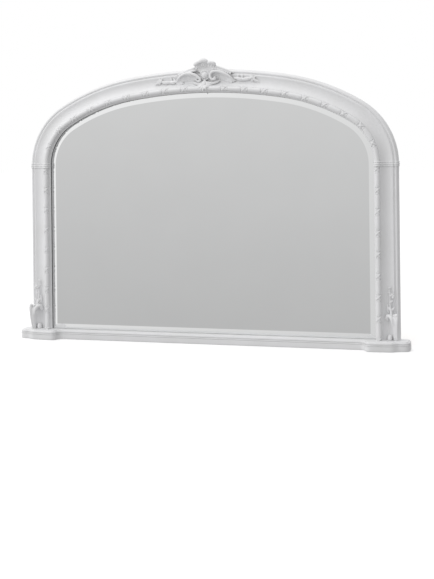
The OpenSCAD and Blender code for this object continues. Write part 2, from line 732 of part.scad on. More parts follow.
// --- leaf feet -------------------------------------------------------------

// Foot space: X outward from the sight edge, Y up from the base, Z forward.
module foot() {
    face() translate([half_w, base_h, 0]) children();
}
foot_gap = 0.12;
leaf_k = leaf_h / 78;
sprig_k = (sprig_h - leaf_h) / 78;
function foot_y(y) = y < 78 ? y * leaf_k : leaf_h + (y - 78) * sprig_k;

// Sections of the cupped leaf, from just under the base's top, where it is cut off
// flush, to its curled top: height, place and height of the rim, place and height
// of the outer lobe, depth of the bowl.
cup = [[-4, 55, 14, 61, 18, 6], [20, 55, 21, 62, 24, 4], [40, 54, 26, 63, 27, 3],
    [55, 53, 28, 64.5, 29, 4], [67, 51, 27, 65, 28, 9], [75, 47, 22, 64, 24, 15]];
module leaf_foot() {
    inner = reed_s + reed_r + 2;
    foot() difference() {
        union() {
            loft([for (c = cup) let (y = foot_y(c[0]), rim = c[1], lobe = c[3], bowl = c[5])
                [for (q = [[inner, -8], [inner, 10 + bowl * 0.2], [inner + 6, bowl + 3],
                    [(inner + rim) / 2, bowl], [rim - 9, bowl + 4], [rim, c[2]], [lobe, c[4]],
                    [lobe + 3, c[4] - 5], [lobe + 2, -1], [lobe, -8]]) [q[0], y, q[1]]]]);
            // body of the leaf behind the rim and the lobe
            stem([[57, -6, 4, 8], [58, foot_y(20), 11, 10], [58, foot_y(45), 15, 11.5],
                [57, foot_y(66), 14, 10.5]], 1);
            // rolled rim, ending in a curl over the bowl
            stem([[55, -5, 14, 3], [55, foot_y(20), 21.5, 3.4], [54, foot_y(40), 26.5, 3.6],
                [53, foot_y(56), 28.5, 4], [50.5, foot_y(67), 27, 4.4], [46, foot_y(74), 22.5, 4.4],
                [40, foot_y(75.5), 17, 4], [35, foot_y(71), 13, 3.6], [35, foot_y(64.5), 11, 3.2],
                [39.5, foot_y(62), 10, 3]]);
            // outer lobe, ending in a knob
            stem([[61, -5, 17, 3.4], [62, foot_y(20), 23.5, 3.8], [63, foot_y(40), 26.5, 4.2],
                [65, foot_y(58), 28, 4.6], [66, foot_y(70), 27, 5], [65, foot_y(78), 25, 4]], 1);
            bud([64.5, foot_y(77), 25], 6);
            // stem of the sprig, and its leaves and flower
            stem([[48, foot_y(72), 20, 4], [47, foot_y(84), 13, 3.6], [45, foot_y(98), 9, 3],
                [44, foot_y(114), 8, 2.8], [44.5, foot_y(130), 8, 2.6], [43, foot_y(144), 7, 2.2],
                [41, foot_y(156), 6.5, 1.6]], 1);
            leaf([47, foot_y(88), 11], [58, foot_y(100), 9], 4, 4);
            leaf([45, foot_y(84), 12], [36, foot_y(104), 9], 4, 4);
            leaf([38, foot_y(76), 14], [35, foot_y(88), 11], 3.4, 3.4);
            leaf([44, foot_y(112), 8], [54, foot_y(122), 9], 3.4, 3.6);
            leaf([43, foot_y(148), 7], [36, foot_y(140), 9], 2.6, 3);
            leaf([42, foot_y(150), 7], [47, foot_y(158), 6], 2.6, 3);
            // flower: a bell of four petals
            for (t = [[45, 136], [52, 141], [58, 136], [56, 126]])
                leaf([50, foot_y(127), 9], [t[0], foot_y(t[1]), 13], 4.4, 4.4);
            bud([43, foot_y(10), 8.5], 7, 1.4);
        }
        translate([-half_w, -base_h, 0]) up_column(base_h - 20, base_h + 2 * sprig_h)
            face_section(-glass_face, foot_gap, true);
        translate([-face_w, -40, -60]) cube([4 * face_w, 40, 120]);
    }
}
module left_leaf_foot() { color(paint) side(-1) leaf_foot(); }
module right_leaf_foot() { color(paint) leaf_foot(); }

// --- base ------------------------------------------------------------------

function bezier(a, b, c, d, n) = [for (i = [0:n]) let (t = i / n, u = 1 - t)
    u * u * u * a + 3 * u * u * t * b + 3 * u * t * t * c + t * t * t * d];

// Front edge of the base in plan, from the middle to the right-hand end:
// distance along and distance from the wall.
ogee_a = acos(1 - (block_d - shelf_d) / (2 * ogee_r));
ogee_x = half_w - block_lead;
ogee_run = 2 * ogee_r * sin(ogee_a);
ear_x = base_half - ear_w;
ear_d = block_d - 6 - ear_in;
front_edge = concat(
    [[0, shelf_d]],
    arc_points([ogee_x, shelf_d + ogee_r], ogee_r, -90, -90 + ogee_a, 5),
    drop_first(arc_points([ogee_x + ogee_run, block_d - ogee_r], ogee_r, 90 + ogee_a, 90, 5)),
    drop_first(bezier([ogee_x + ogee_run, block_d], [ogee_x + ogee_run + 20, block_d],
        [ear_x - 38, block_d - 5], [ear_x - 18, block_d - 5], 3)),
    drop_first(bezier([ear_x - 18, block_d - 5], [ear_x + 2, block_d - 5.5],
        [ear_x, ear_d + 1.5], [ear_x + 18, ear_d], 6)),
    drop_first(bezier([ear_x + 18, ear_d], [base_half - 6, ear_d - 1],
        [base_half, ear_d - 10], [base_half, ear_d - 28], 6)));
function drop_first(points) = [for (i = [1:len(points) - 1]) points[i]];

// The front edge drawn in by d, from the left-hand end to the right, and the
// plan it makes with the wall, as points [x, y] about the middle of the base.
function base_front(d) =
    let (n = len(front_edge), e = front_edge,
        half = [for (i = [0:n - 1])
            let (t = i == 0 ? [1, 0] : i == n - 1 ? [0, -1] : e[i + 1] - e[i - 1],
                u = [t[1], -t[0]] / norm(t))
            [e[i][0] + u[0] * d, y_wall - e[i][1] - u[1] * d]])
    concat([for (i = [n - 1:-1:1]) [-half[i][0], half[i][1]]], half);
function base_plan(d) = let (front = base_front(d), end = front[len(front) - 1][0])
    concat(front, [[end, y_wall], [-end, y_wall]]);

groove_foot = fascia_h - groove_d;
glass_foot = base_h - glass_lap;
shelf_gap = 0.5;
module base_board() {
    color(paint) difference() {
        linear_extrude(fascia_h) polygon(base_plan(0));
        translate([-half_w - rebate_w, y_glass - shelf_gap, groove_foot])
            cube([sight_w + 2 * rebate_w, glass_t + 2 * shelf_gap, fascia_h]);
        face() base_screw_holes();
        translate([0, 0, fascia_h]) batten_holes();
    }
}

// Stepped and rounded moulding on top of the fascia: inset and height.
step_edge = [[0.14, 0], [0.02, 0.18], [0.3, 0.38], [0.34, 0.48], [0.6, 0.86], [1, 1]];
module base_moulding() {
    color(paint) difference() {
        loft([for (q = step_edge)
            let (front = base_front(q[0] * step_in), z = fascia_h + q[1] * step_h)
                concat([for (p = front) [p[0], p[1], z]],
                    [for (i = [len(front) - 1:-1:0]) [front[i][0], y_wall, z]])], ladder = true);
        translate([-half_w - rebate_w, y_glass - shelf_gap, fascia_h - 1])
            cube([sight_w + 2 * rebate_w, glass_face + 10, step_h + 2]);
        translate([-half_w - ledge_out, y_glass + glass_t, fascia_h - 1])
            cube([sight_w + 2 * ledge_out, glass_face + 10, step_h + 2]);
        face() base_screw_holes();
    }
}

// --- glass and back --------------------------------------------------------

module mirror_glass() {
    outer = opening_outline(glass_lap, glass_foot);
    flat = opening_outline(glass_lap - bevel_w, glass_foot + bevel_w);
    color(silvered) face() loft([
        [for (p = outer) [p[0], p[1], -glass_t]],
        [for (p = outer) [p[0], p[1], -glass_t + edge_t]],
        [for (p = flat) [p[0], p[1], 0]]]);
}

// Black foam tape between the sight lip and the bevel, up the sides and over.
tape_s = 1;
tape_cut = 0.2;
bevel_slope = (glass_t - edge_t) / bevel_w;
function bevel_f(s) = -(s + bevel_w - glass_lap) * bevel_slope;
module tape_section() {
    polygon([[tape_s, bevel_f(tape_s)], [tape_s + tape_w, bevel_f(tape_s + tape_w)],
        [tape_s + tape_w, lip_back], [tape_s, lip_back]]);
}
module glazing_tape() {
    color(black_foam) face() {
        for (hand = [-1, 1]) side(hand) {
            up_column(base_h, spring_z - tape_cut) tape_section();
            round_corner(tape_cut) tape_section();
            round_shoulder(tape_cut) tape_section();
        }
        round_crown(tape_cut) tape_section();
    }
}

module setting_blocks() {
    color(black_foam) for (hand = [-1, 1])
        translate([hand * sight_w / 4 - 20, y_glass, groove_foot])
            cube([40, glass_t, glass_foot - groove_foot]);
}

module backing_board() {
    color(bare_board) face() difference() {
        translate([0, 0, -backing_back]) linear_extrude(backing_t)
            polygon(opening_outline(ledge_out - backing_gap, fascia_h));
        backing_screw_holes();
    }
}

module backing_screws() {
    color(zinc) face() at_backing_screws()
        translate([0, 0, -backing_back]) pan_screw(screw_d, screw_len);
}

// A batten on the base board holds the foot of the backing board.
module at_batten_screws() {
    for (i = [-3:2:3]) translate([i * sight_w / 7, y_glass + backing_back + batten_d / 2, 0])
        children();
}
batten_screw_len = batten_h + fascia_h * 0.6;
module batten_holes() {
    at_batten_screws() translate([0, 0, batten_h - batten_screw_len - 1])
        cylinder(d = screw_d + fit, h = batten_screw_len + 2);
}
module bottom_batten() {
    color(bare_wood) difference() {
        translate([-half_w - ledge_out + backing_gap, y_glass + backing_back, fascia_h])
            cube([sight_w + 2 * ledge_out - 2 * backing_gap, batten_d, batten_h]);
        translate([0, 0, fascia_h]) batten_holes();
    }
}
module batten_screws() {
    color(zinc) at_batten_screws() translate([0, 0, fascia_h + batten_h])
        rotate([180, 0, 0]) pan_screw(screw_d, batten_screw_len);
}

module joint_dowels() {
    color(bare_wood) face() {
        dowels(dowel_d);
        joint_pegs(dowel_d);
    }
}

module base_screws() {
    color(zinc) face() at_posts() rotate([-90, 0, 0]) countersunk_screw(base_screw_d, base_screw_len);
}

// --- hangers ---------------------------------------------------------------

// Hanger space: origin on the hinge line, X along the bar, Y up, Z forward.
module at_hanger() {
    face() translate([half_w + hanger_s, hanger_z, -glass_face - hinge_out]) children();
}
bore_r = wire_d / 2 + hinge_gap;
module hanger_strap() {
    difference() {
        at_hanger() difference() {
            union() {
                translate([-strap_w / 2, 0, 0]) rotate([0, 90, 0]) cylinder(r = barrel_r, h = strap_w);
                translate([-strap_w / 2, -strap_len, hinge_out - strap_t])
                    cube([strap_w, strap_len + barrel_r * 0.6, strap_t]);
            }
            translate([-strap_w, 0, 0]) rotate([0, 90, 0]) cylinder(r = bore_r, h = 2 * strap_w);
        }
        face() strap_screw_holes();
    }
}
module left_strap() { color(zinc) side(-1) hanger_strap(); }
module right_strap() { color(zinc) hanger_strap(); }

module strap_screws() {
    color(zinc) face() at_strap_screws()
        translate([0, 0, -strap_t]) pan_screw(screw_d, screw_len);
}

// D-shaped ring: a straight bar in the barrel, two sides and a round bow.
module hanger_ring() {
    wire_r = wire_d / 2;
    bow_r = (ring_w + wire_d) / 2;
    drop = ring_len + wire_r - bow_r + wire_r;
    at_hanger() {
        translate([-bow_r, 0, 0]) rotate([0, 90, 0]) cylinder(r = wire_r, h = 2 * bow_r);
        for (hand = [-1, 1]) {
            translate([hand * bow_r, 0, 0]) sphere(r = wire_r);
            translate([hand * bow_r, -drop, 0]) rotate([-90, 0, 0]) cylinder(r = wire_r, h = drop);
        }
        translate([0, -drop, 0]) rotate([0, 0, 180])
            rotate_extrude(angle = 180) translate([bow_r, 0]) circle(r = wire_r);
    }
}
module left_ring() { color(zinc) side(-1) hanger_ring(); }
module right_ring() { color(zinc) hanger_ring(); }

base_board();
base_moulding();
left_column();
right_column();
left_corner();
right_corner();
left_shoulder();
right_shoulder();
head_crown();
left_collar();
right_collar();
left_arch_ties();
right_arch_ties();
left_ties();
right_ties();
crest_shell();
crest_boss();
crest_left_scroll();
crest_right_scroll();
crest_left_spray();
crest_right_spray();
crest_pendant();
left_leaf_foot();
right_leaf_foot();
mirror_glass();
glazing_tape();
setting_blocks();
backing_board();
backing_screws();
bottom_batten();
batten_screws();
joint_dowels();
base_screws();
left_strap();
right_strap();
strap_screws();
left_ring();
right_ring();
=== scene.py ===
# %% [markdown]
# # An arched overmantel mirror
# The frame of this mirror is one moulding, swept up two columns and over a
# five-part arch, on a stepped base. Carved ornament is set on it and the whole
# is painted white. We load the measured model first and dress it piece by
# piece, so every part of the picture stays where the construction says.

# %% Load the frame
import bmesh
import bpy
import json
import math
from mathutils import Matrix, Vector


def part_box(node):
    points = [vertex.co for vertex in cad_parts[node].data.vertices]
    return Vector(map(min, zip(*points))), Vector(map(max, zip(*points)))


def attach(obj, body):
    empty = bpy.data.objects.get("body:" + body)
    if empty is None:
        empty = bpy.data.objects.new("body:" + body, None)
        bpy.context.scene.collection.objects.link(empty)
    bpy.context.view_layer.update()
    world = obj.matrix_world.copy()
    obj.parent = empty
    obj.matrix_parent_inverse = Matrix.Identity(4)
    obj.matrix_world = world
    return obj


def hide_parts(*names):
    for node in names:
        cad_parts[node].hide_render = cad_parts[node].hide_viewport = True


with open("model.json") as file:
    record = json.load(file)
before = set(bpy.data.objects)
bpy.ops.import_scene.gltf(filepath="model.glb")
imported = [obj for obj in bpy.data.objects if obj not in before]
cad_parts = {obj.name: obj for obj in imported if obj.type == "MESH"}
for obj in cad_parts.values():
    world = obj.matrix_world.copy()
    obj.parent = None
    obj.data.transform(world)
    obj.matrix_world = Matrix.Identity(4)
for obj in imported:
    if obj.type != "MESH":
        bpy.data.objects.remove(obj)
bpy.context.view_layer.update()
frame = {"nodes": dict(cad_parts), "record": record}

nodes = frame["nodes"]

# %% [markdown]
# ## Shared places
# The frame is in metres, and the sizes of the drawing are in millimetres. The
# face of the glass is the datum: a point of the moulding is given by its
# distance from the sight edge and its height in front of the glass, as a
# joiner would draw the section. Only the right half is drawn, and the left half
# is its mirror image.

# %% Places taken from the frame
MM = 0.001
glass_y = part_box("mirror_glass")[0][1]
base_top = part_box("left_column")[0][2]
spring_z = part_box("left_column")[1][2]
half_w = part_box("right_column")[0][0]
both_hands = (("left", True), ("right", False))
print("glass face y", glass_y, "springing z", spring_z, "half width", half_w)

# %% [markdown]
# ## Camera
# The photograph was taken from the right, level with the upper part of the
# mirror, with upright lines kept upright. So the camera doesn't tilt: the lens
# is shifted instead, and turned a little about its own axis.

# %% Camera
def put_in_scene(name, data):
    """A new object in the scene for a mesh, a lamp or a camera."""
    thing = bpy.data.objects.new(name, data)
    bpy.context.scene.collection.objects.link(thing)
    return thing


camera_x = 0.880
camera_distance = 3.334
camera_z = 0.6255
turn_left = math.radians(14.79)
roll = -0.0112
photo_w, photo_h = 434, 579
focal_px = 1097.2
axis_px = (206.0, 144.0)

bpy.context.scene.view_settings.view_transform = "Standard"
camera_data = bpy.data.cameras.new("camera")
camera_data.lens = focal_px / photo_h * camera_data.sensor_width
camera_data.shift_x = (photo_w / 2 - axis_px[0]) / photo_h
camera_data.shift_y = -(photo_h / 2 - axis_px[1]) / photo_h
camera = put_in_scene("camera", camera_data)
camera.location = (camera_x, glass_y - camera_distance, camera_z)
aim = (Matrix.Rotation(turn_left, 4, "Z") @ Matrix.Rotation(math.pi / 2, 4, "X")
       @ Matrix.Rotation(roll, 4, "Z"))
camera.rotation_euler = aim.to_euler()
bpy.context.scene.camera = camera
print("lens %.1f mm, shift" % camera_data.lens, camera_data.shift_x, camera_data.shift_y)

# %% [markdown]
# ## Small helpers
# A finished piece is a mesh object at the origin, shaded smooth with its hard
# edges kept, and it rides on the body that carries it.

# %% Helpers
def block_of(name, bm):
    """A plain object in the scene made from a bmesh, which is then freed."""
    mesh = bpy.data.meshes.new(name)
    bm.to_mesh(mesh)
    bm.free()
    return put_in_scene(name, mesh)


def keep(bm, name, finish, node, hard=35):
    """Turns a bmesh into a finished piece that stands for a node."""
    piece = block_of(name, bm)
    mesh = piece.data
    for face in mesh.polygons:
        face.use_smooth = True
    mesh.set_sharp_from_angle(angle=math.radians(hard))
    mesh.materials.append(finish)
    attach(piece, "frame")
    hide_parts(node)
    print("%s: %d faces" % (name, len(mesh.polygons)))


# %% [markdown]
# ## Finishes
# A finish is a small tree of nodes. These helpers start one, add a node to it
# and make what every finish here is built from: a noise, colours along it, a
# bump and a roughness that varies.

# %% Node helpers
def new_finish(name):
    finish = bpy.data.materials.new(name)
    finish.use_nodes = True
    tree = finish.node_tree
    shader = next(n for n in tree.nodes if n.type == "BSDF_PRINCIPLED")
    return finish, tree, shader


def set_inputs(node, values):
    for key, value in values.items():
        node.inputs[key].default_value = value


def add(tree, kind, inputs=None, **values):
    """A new node with its settings and the plain values of its inputs."""
    node = tree.nodes.new(kind)
    for key, value in values.items():
        setattr(node, key, value)
    set_inputs(node, inputs or {})
    return node


def grain(tree, scale, detail, stretch=(1, 1, 1)):
    """A noise on the piece's own coordinates, in metres."""
    place = add(tree, "ShaderNodeTexCoord")
    mapping = add(tree, "ShaderNodeMapping", {"Scale": stretch})
    pattern = add(tree, "ShaderNodeTexNoise", {"Scale": scale, "Detail": detail})
    tree.links.new(place.outputs["Object"], mapping.inputs["Vector"])
    tree.links.new(mapping.outputs["Vector"], pattern.inputs["Vector"])
    return pattern


def ramp(tree, source, stops):
    """Colours along a factor: pairs of position and colour."""
    node = add(tree, "ShaderNodeValToRGB")
    band = node.color_ramp
    while len(band.elements) < len(stops):
        band.elements.new(0.5)
    for element, (position, colour) in zip(band.elements, stops):
        element.position = position
        element.color = (*colour, 1)
    tree.links.new(source, node.inputs["Fac"])
    return node


def bump(tree, shader, source, strength, distance):
    node = add(tree, "ShaderNodeBump", {"Strength": strength, "Distance": distance})
    tree.links.new(source, node.inputs["Height"])
    tree.links.new(node.outputs["Normal"], shader.inputs["Normal"])


def vary_roughness(tree, shader, source, low, high):
    node = add(tree, "ShaderNodeMapRange", {"To Min": low, "To Max": high})
    tree.links.new(source, node.inputs["Value"])
    tree.links.new(node.outputs["Result"], shader.inputs["Roughness"])


# %% [markdown]
# Satin paint over gesso is nearly even, but a brush leaves faint streaks and a
# slight orange peel, and the colour is a touch cooler where it is thicker. Two
# noises do this: a broad one for the colour and a fine one for the bump. In
# narrow hollows ambient occlusion darkens the colour, which is painted shade.

# %% Paint
thin_coat, thick_coat = (0.800, 0.800, 0.806), (0.830, 0.830, 0.842)
shade_reach, peel_depth = 0.006, 0.0002


def white_paint(name, peel, hollow_shade):
    """Satin white, with the strength of its orange peel and of the painted shade in its hollows."""
    finish, tree, shader = new_finish(name)
    shade = ramp(tree, grain(tree, scale=14, detail=4).outputs["Fac"],
                 [(0.35, thin_coat), (0.65, thick_coat)])
    # Painted shade: ambient occlusion darkens the paint colour in narrow hollows.
    hollow = add(tree, "ShaderNodeAmbientOcclusion", {"Distance": shade_reach}, samples=6)
    painted_shade = ramp(tree, hollow.outputs["AO"],
                [(0.15, (hollow_shade, hollow_shade, hollow_shade * 0.99)), (0.75, (1, 1, 1))])
    shaded_colour = add(tree, "ShaderNodeMix", {"Factor": 1.0}, data_type="RGBA", blend_type="MULTIPLY")
    colours = [socket for socket in shaded_colour.inputs if socket.type == "RGBA"]
    tree.links.new(shade.outputs["Color"], colours[0])
    tree.links.new(painted_shade.outputs["Color"], colours[1])
    result = next(socket for socket in shaded_colour.outputs if socket.type == "RGBA")
    tree.links.new(result, shader.inputs["Base Color"])
    fine = grain(tree, scale=700, detail=3)
    bump(tree, shader, fine.outputs["Fac"], peel, peel_depth)
    vary_roughness(tree, shader, fine.outputs["Fac"], low=0.38, high=0.52)
    return finish


# The last number sets how dark the painted shade in the hollows gets.
paint = white_paint("satin_white_paint", peel=0.10, hollow_shade=0.86)
ornament_paint = white_paint("ornament_paint", peel=0.16, hollow_shade=0.70)
print("paints:", paint.name, ornament_paint.name)

# %% [markdown]
# ## Silvered glass
# A mirror is metal behind glass. Its face is all but perfect, so only a very
# faint haze varies the roughness, and the silver dims what it returns a little.
# One helper makes this and the workshop finishes after it: a single noise
# varies the colour, the roughness and, where there is any, the relief.

# %% Mirror
relief_mm = 0.3


def noise_finish(name, scale, detail, dark, light, rough, stretch=(1, 1, 1), relief=0, metal=0):
    finish, tree, shader = new_finish(name)
    figure = grain(tree, scale, detail, stretch).outputs["Fac"]
    tone = ramp(tree, figure, [(0.3, dark), (0.7, light)])
    tree.links.new(tone.outputs["Color"], shader.inputs["Base Color"])
    set_inputs(shader, {"Metallic": metal})
    if relief:
        bump(tree, shader, figure, relief, relief_mm * MM)
    vary_roughness(tree, shader, figure, *rough)
    return finish


mirror_finish = noise_finish("silvered_glass", 6, 2, dark=(0.90, 0.905, 0.905),
                             light=(0.915, 0.92, 0.92), rough=(0.015, 0.03), metal=1)
print("mirror:", mirror_finish.name)

# %% [markdown]
# ## Finishes behind the frame
# Foam tape, hardboard, softwood and zinc are plain workshop materials. Wood
# gets a noise stretched along its grain, and zinc gets fine crystals.

# %% Back finishes
bare = {"detail": 8, "rough": (0.6, 0.8), "relief": 0.3}
board_finish = noise_finish("hardboard", 260, dark=(0.25, 0.145, 0.075),
                            light=(0.36, 0.22, 0.12), **bare)
batten_finish = noise_finish("softwood", 40, dark=(0.50, 0.32, 0.16),
                             light=(0.66, 0.47, 0.27), stretch=(0.12, 1, 1), **bare)
dowel_finish = noise_finish("beech", 60, dark=(0.52, 0.34, 0.20),
                            light=(0.64, 0.45, 0.29), stretch=(1, 1, 0.15), **bare)
foam_finish = noise_finish("black_foam", 900, 2, dark=(0.012, 0.012, 0.013),
                           light=(0.04, 0.04, 0.042), rough=(0.8, 0.95), relief=0.5)
zinc_finish = noise_finish("zinc_plate", 350, 3, dark=(0.52, 0.53, 0.55),
                           light=(0.68, 0.69, 0.71), rough=(0.28, 0.45), metal=1)
print("workshop finishes:", board_finish.name, batten_finish.name, dowel_finish.name)

# %% [markdown]
# The solids that need no new shape, such as the screws and the backing board,
# stay as they are. Each takes the finish of its own material slot.

# %% Give the carried-over nodes their finishes
finish_of_slot = {
    "painted_frame": paint, "painted_ornament": ornament_paint,
    "silvered_glass": mirror_finish, "black_foam": foam_finish,
    "hardboard": board_finish, "bare_wood": batten_finish, "zinc_steel": zinc_finish,
}
slot_of = {part["node"]: part["material_slot"] for part in frame["record"]["subparts"]}
for name, node in nodes.items():
    finish = dowel_finish if name == "joint_dowels" else finish_of_slot[slot_of[name]]
    node.data.materials.clear()
    node.data.materials.append(finish)
print("finished nodes:", len(nodes))

# %% [markdown]
# ## Carving
# The ornament is carved wood or pressed composition under thick paint, so every
# edge is soft. Each piece is laid out as tapering strokes and leaves along the
# lines a carver would draw. Strokes that overlap are fused by a fine remesh
# and then rubbed down, which gives the rounded joins of painted carving.

# %% Strokes, leaves and beads
def smooth_run(points, steps=6):
    """More points along a smooth line through the given ones."""
    dense = []
    for i in range(len(points) - 1):
        p0, p1, p2, p3 = (Vector(points[min(max(k, 0), len(points) - 1)])
                          for k in (i - 1, i, i + 1, i + 2))
        for step in range(steps):
            t = step / steps
            dense.append(0.5 * (2 * p1 + (p2 - p0) * t + (2 * p0 - 5 * p1 + 4 * p2 - p3) * t * t
                                + (3 * p1 - p0 - 3 * p2 + p3) * t ** 3))
    return dense + [Vector(points[-1])]


def stroke(bm, points, roundness=3, steps=6):
    """A round bar through points (x, y, height, half width), mm on the face."""
    curve = bpy.data.curves.new("stroke", "CURVE")
    curve.dimensions = "3D"
    curve.bevel_depth = 1
    curve.bevel_resolution = roundness
    curve.use_fill_caps = True
    run = smooth_run(points, steps)
    line = curve.splines.new("POLY")
    line.points.add(len(run) - 1)
    for knot, (x, y, height, half) in zip(line.points, run):
        knot.co = (x, -height, y, 1)
        knot.radius = max(half, 0.3)
    holder = bpy.data.objects.new("stroke", curve)
    mesh = bpy.data.meshes.new_from_object(holder)
    bm.from_mesh(mesh)
    bpy.data.objects.remove(holder)
    bpy.data.curves.remove(curve)
    bpy.data.meshes.remove(mesh)


root_share, middle_share, tip_share = 0.35, 0.55, 0.2


def leaf(bm, root, tip, half, height):
    """A small leaf with a groove down its middle, from root to tip (x, y)."""
    root, tip = Vector(root), Vector(tip)
    along_leaf = (tip - root).normalized()
    across = Vector((-along_leaf.y, along_leaf.x))
    for way in (-1, 1):
        middle = root.lerp(tip, 0.5) + across * way * half * 0.5
        stroke(bm, [(*root, height - half * 0.2, half * root_share),
                    (*middle, height, half * middle_share),
                    (*tip, height - half * 0.1, half * tip_share)])


def bead(bm, x, y, height, radius):
    """A small ball set at a height over the glass face."""
    ball = bmesh.ops.create_uvsphere(bm, u_segments=12, v_segments=8, radius=radius)["verts"]
    bmesh.ops.translate(bm, vec=(x, -height, y), verts=ball)


# %% [markdown]
# Fusing works in three moves: the strokes become one rough block, a voxel
# remesh makes a single skin of it, and smoothing rubs that skin down. The voxel
# is small against the ribbons, which are the finest thing carved.

# %% Fuse and rub down
voxel_mm = 0.8


def shaped(block):
    """What a block's modifiers make of it, as a new bmesh."""
    out = bmesh.new()
    out.from_mesh(block.evaluated_get(bpy.context.evaluated_depsgraph_get()).to_mesh())
    return out


def clear_away(blocks):
    for block in blocks:
        mesh = block.data
        bpy.data.objects.remove(block)
        bpy.data.meshes.remove(mesh)


def carve(bm, name, node, origin, mirrored=False, rub=3):
    """Fuse the strokes, rub them down and set the piece at its place."""
    block = block_of("rough", bm)
    fuse = block.modifiers.new("fuse", "REMESH")
    fuse.mode = "VOXEL"
    fuse.voxel_size = voxel_mm
    out = shaped(block)
    clear_away([block])
    for _ in range(rub):
        bmesh.ops.smooth_vert(out, verts=out.verts, factor=0.5,
                              use_axis_x=True, use_axis_y=True, use_axis_z=True)
    bmesh.ops.translate(out, vec=(origin[0], 0, origin[1]), verts=out.verts)
    in_place(out, mirrored)
    keep(out, name, ornament_paint, node, hard=180)


# %% [markdown]
# ## The moulding
# A joiner runs this section with a shaped plane and a spindle cutter. Here it
# is a line of edges, pushed straight up for a column and spun about a centre
# for each arc, so the curve is even and its facets are far too small to see.
# The back and the rebate stay plain, as they never show from the front.

# %% Section of the moulding
face_w, glass_face = 69.0, 18.0
lip_back, lip_front = 1.5, 5.0
cove_centre, cove_r = (-3, 12.9), 9.0
reed_r, reed_s, reed_f = 7.6, 11.0, 17.5
waist_r = 6.1
hollow_top, hollow_foot, hollow_r = (20, 15), (54, 2.6), 25
reed_gap, reed_drop = 1.4, 2.5
fillet_s, fillet_drop, quirk = 56.6, 2.2, (60.8, -1.6)
bead_r, bead_rise = 4.2, 0.2
under_bead, flare, flare_top, flare_foot = 0.3, 4.4, -8.6, -13
rebate_w, ledge_out, glass_t = 10.0, 20.0, 4.0


def arc_between(start, end, radius, steps, hollow=False):
    """Points on an arc from start to end, bulging to the left of its way."""
    start, end = Vector(start), Vector(end)
    half = (end - start) / 2
    normal = Vector((-half.y, half.x)).normalized()
    reach = math.sqrt(max(radius ** 2 - half.length ** 2, 0))
    centre = (start + end) / 2 - normal * reach * (-1 if hollow else 1)
    first, last = start - centre, end - centre
    turn = first.angle_signed(last)
    return [centre + Matrix.Rotation(-turn * i / steps, 2) @ first for i in range(steps + 1)]


def along(angle):
    return Vector((math.cos(angle), math.sin(angle)))


def circle_part(centre, radius, from_deg, to_deg, steps):
    """Points on part of a circle, from one angle to another."""
    return [Vector(centre) + radius * along(math.radians(degrees))
            for degrees in (from_deg + (to_deg - from_deg) * i / steps
                            for i in range(steps + 1))]


def moulding_section():
    """The section as (distance from the sight edge, height), in millimetres."""
    bead_centre = (face_w - bead_r, -bead_r + bead_rise)
    fillet_f = hollow_foot[1]
    points = [Vector((0, lip_back)), Vector((0, lip_front))]
    points += circle_part(cove_centre, cove_r, -47, 8, 8)
    points += circle_part((reed_s, reed_f), waist_r, 198, -22, 26)
    points += [Vector((reed_s + reed_r + reed_gap, reed_f - reed_drop))]
    points += arc_between(hollow_top, hollow_foot, hollow_r, 22, hollow=True)[1:]
    points += [Vector((fillet_s, fillet_f)), Vector((fillet_s, fillet_f - fillet_drop)),
               Vector(quirk)]
    points += circle_part(bead_centre, bead_r, 150, -4, 16)
    points += [Vector((face_w - under_bead, flare_top)), Vector((face_w + flare, flare_foot)),
               Vector((face_w + flare, -glass_face))]
    points += [Vector((ledge_out, -glass_face)), Vector((ledge_out, -glass_t)),
               Vector((rebate_w, -glass_t)), Vector((rebate_w, lip_back))]
    return points


section = moulding_section()
print("section points:", len(section))

# %% [markdown]
# The arch has five parts: a tight arc at each corner, a wider one over each
# shoulder and a nearly flat crown. Neighbours share a tangent, so each centre
# lies on the line through the last centre and the point where they meet.

# %% Arcs of the head
corner_r, corner_turn = 153.0, math.radians(58.5)
shoulder_r, shoulder_turn = 575.0, math.radians(22)
side_turn = corner_turn + shoulder_turn
half_mm, spring_mm = half_w / MM, spring_z / MM
corner_c = Vector((half_mm - corner_r, spring_mm))
shoulder_c = corner_c - (shoulder_r - corner_r) * along(corner_turn)
crown_r = shoulder_r + shoulder_c.x / math.cos(side_turn)
crown_c = shoulder_c - (crown_r - shoulder_r) * along(side_turn)
crown_z = crown_c.y + crown_r
print("crown at", crown_z, "mm, radius", crown_r)

# %% [markdown]
# Five small helpers serve every swept, spun or lofted piece. They lay a line of
# edges or the section's loop, bring a finished shape to its place, close an end
# and find the far end of what an extrusion has grown.

# %% Working with edges
def line_of_edges(bm, points, closed=True):
    """Edges from point to point, and back to the first one if closed."""
    verts = [bm.verts.new(point) for point in points]
    return [bm.edges.new(pair) for pair in zip(verts, verts[1:] + (verts[:1] if closed else []))]


def section_loop(bm, across, up, lean):
    """The section's closed loop of edges at a place, leaning by an angle."""
    return line_of_edges(bm, [(across + s * math.cos(lean), -f, up + s * math.sin(lean))
                              for s, f in section])


def in_place(bm, mirrored=False):
    """From millimetres about the glass face to metres in the frame."""
    if mirrored:
        bmesh.ops.scale(bm, vec=(-1, 1, 1), verts=bm.verts)
    bmesh.ops.scale(bm, vec=(MM, MM, MM), verts=bm.verts)
    bmesh.ops.translate(bm, vec=(0, glass_y, 0), verts=bm.verts)
    bmesh.ops.recalc_face_normals(bm, faces=bm.faces)


def cap(bm, loop):
    bmesh.ops.triangle_fill(bm, use_beauty=True, edges=loop)


def far_row(grown):
    """The points and edges at the far end of what an extrusion has grown."""
    moved = [g for g in grown if isinstance(g, bmesh.types.BMVert)]
    row = [g for g in grown if isinstance(g, bmesh.types.BMEdge)
           and all(v in moved for v in g.verts)]
    return moved, row


# %% [markdown]
# ## Reed and ribbon
# The reed looks like a row of long barrels, bound together by crossed ribbons.
# So the swept section carries only a thinner core, and the barrels and the
# ribbons are laid along it by their distance from the springing.

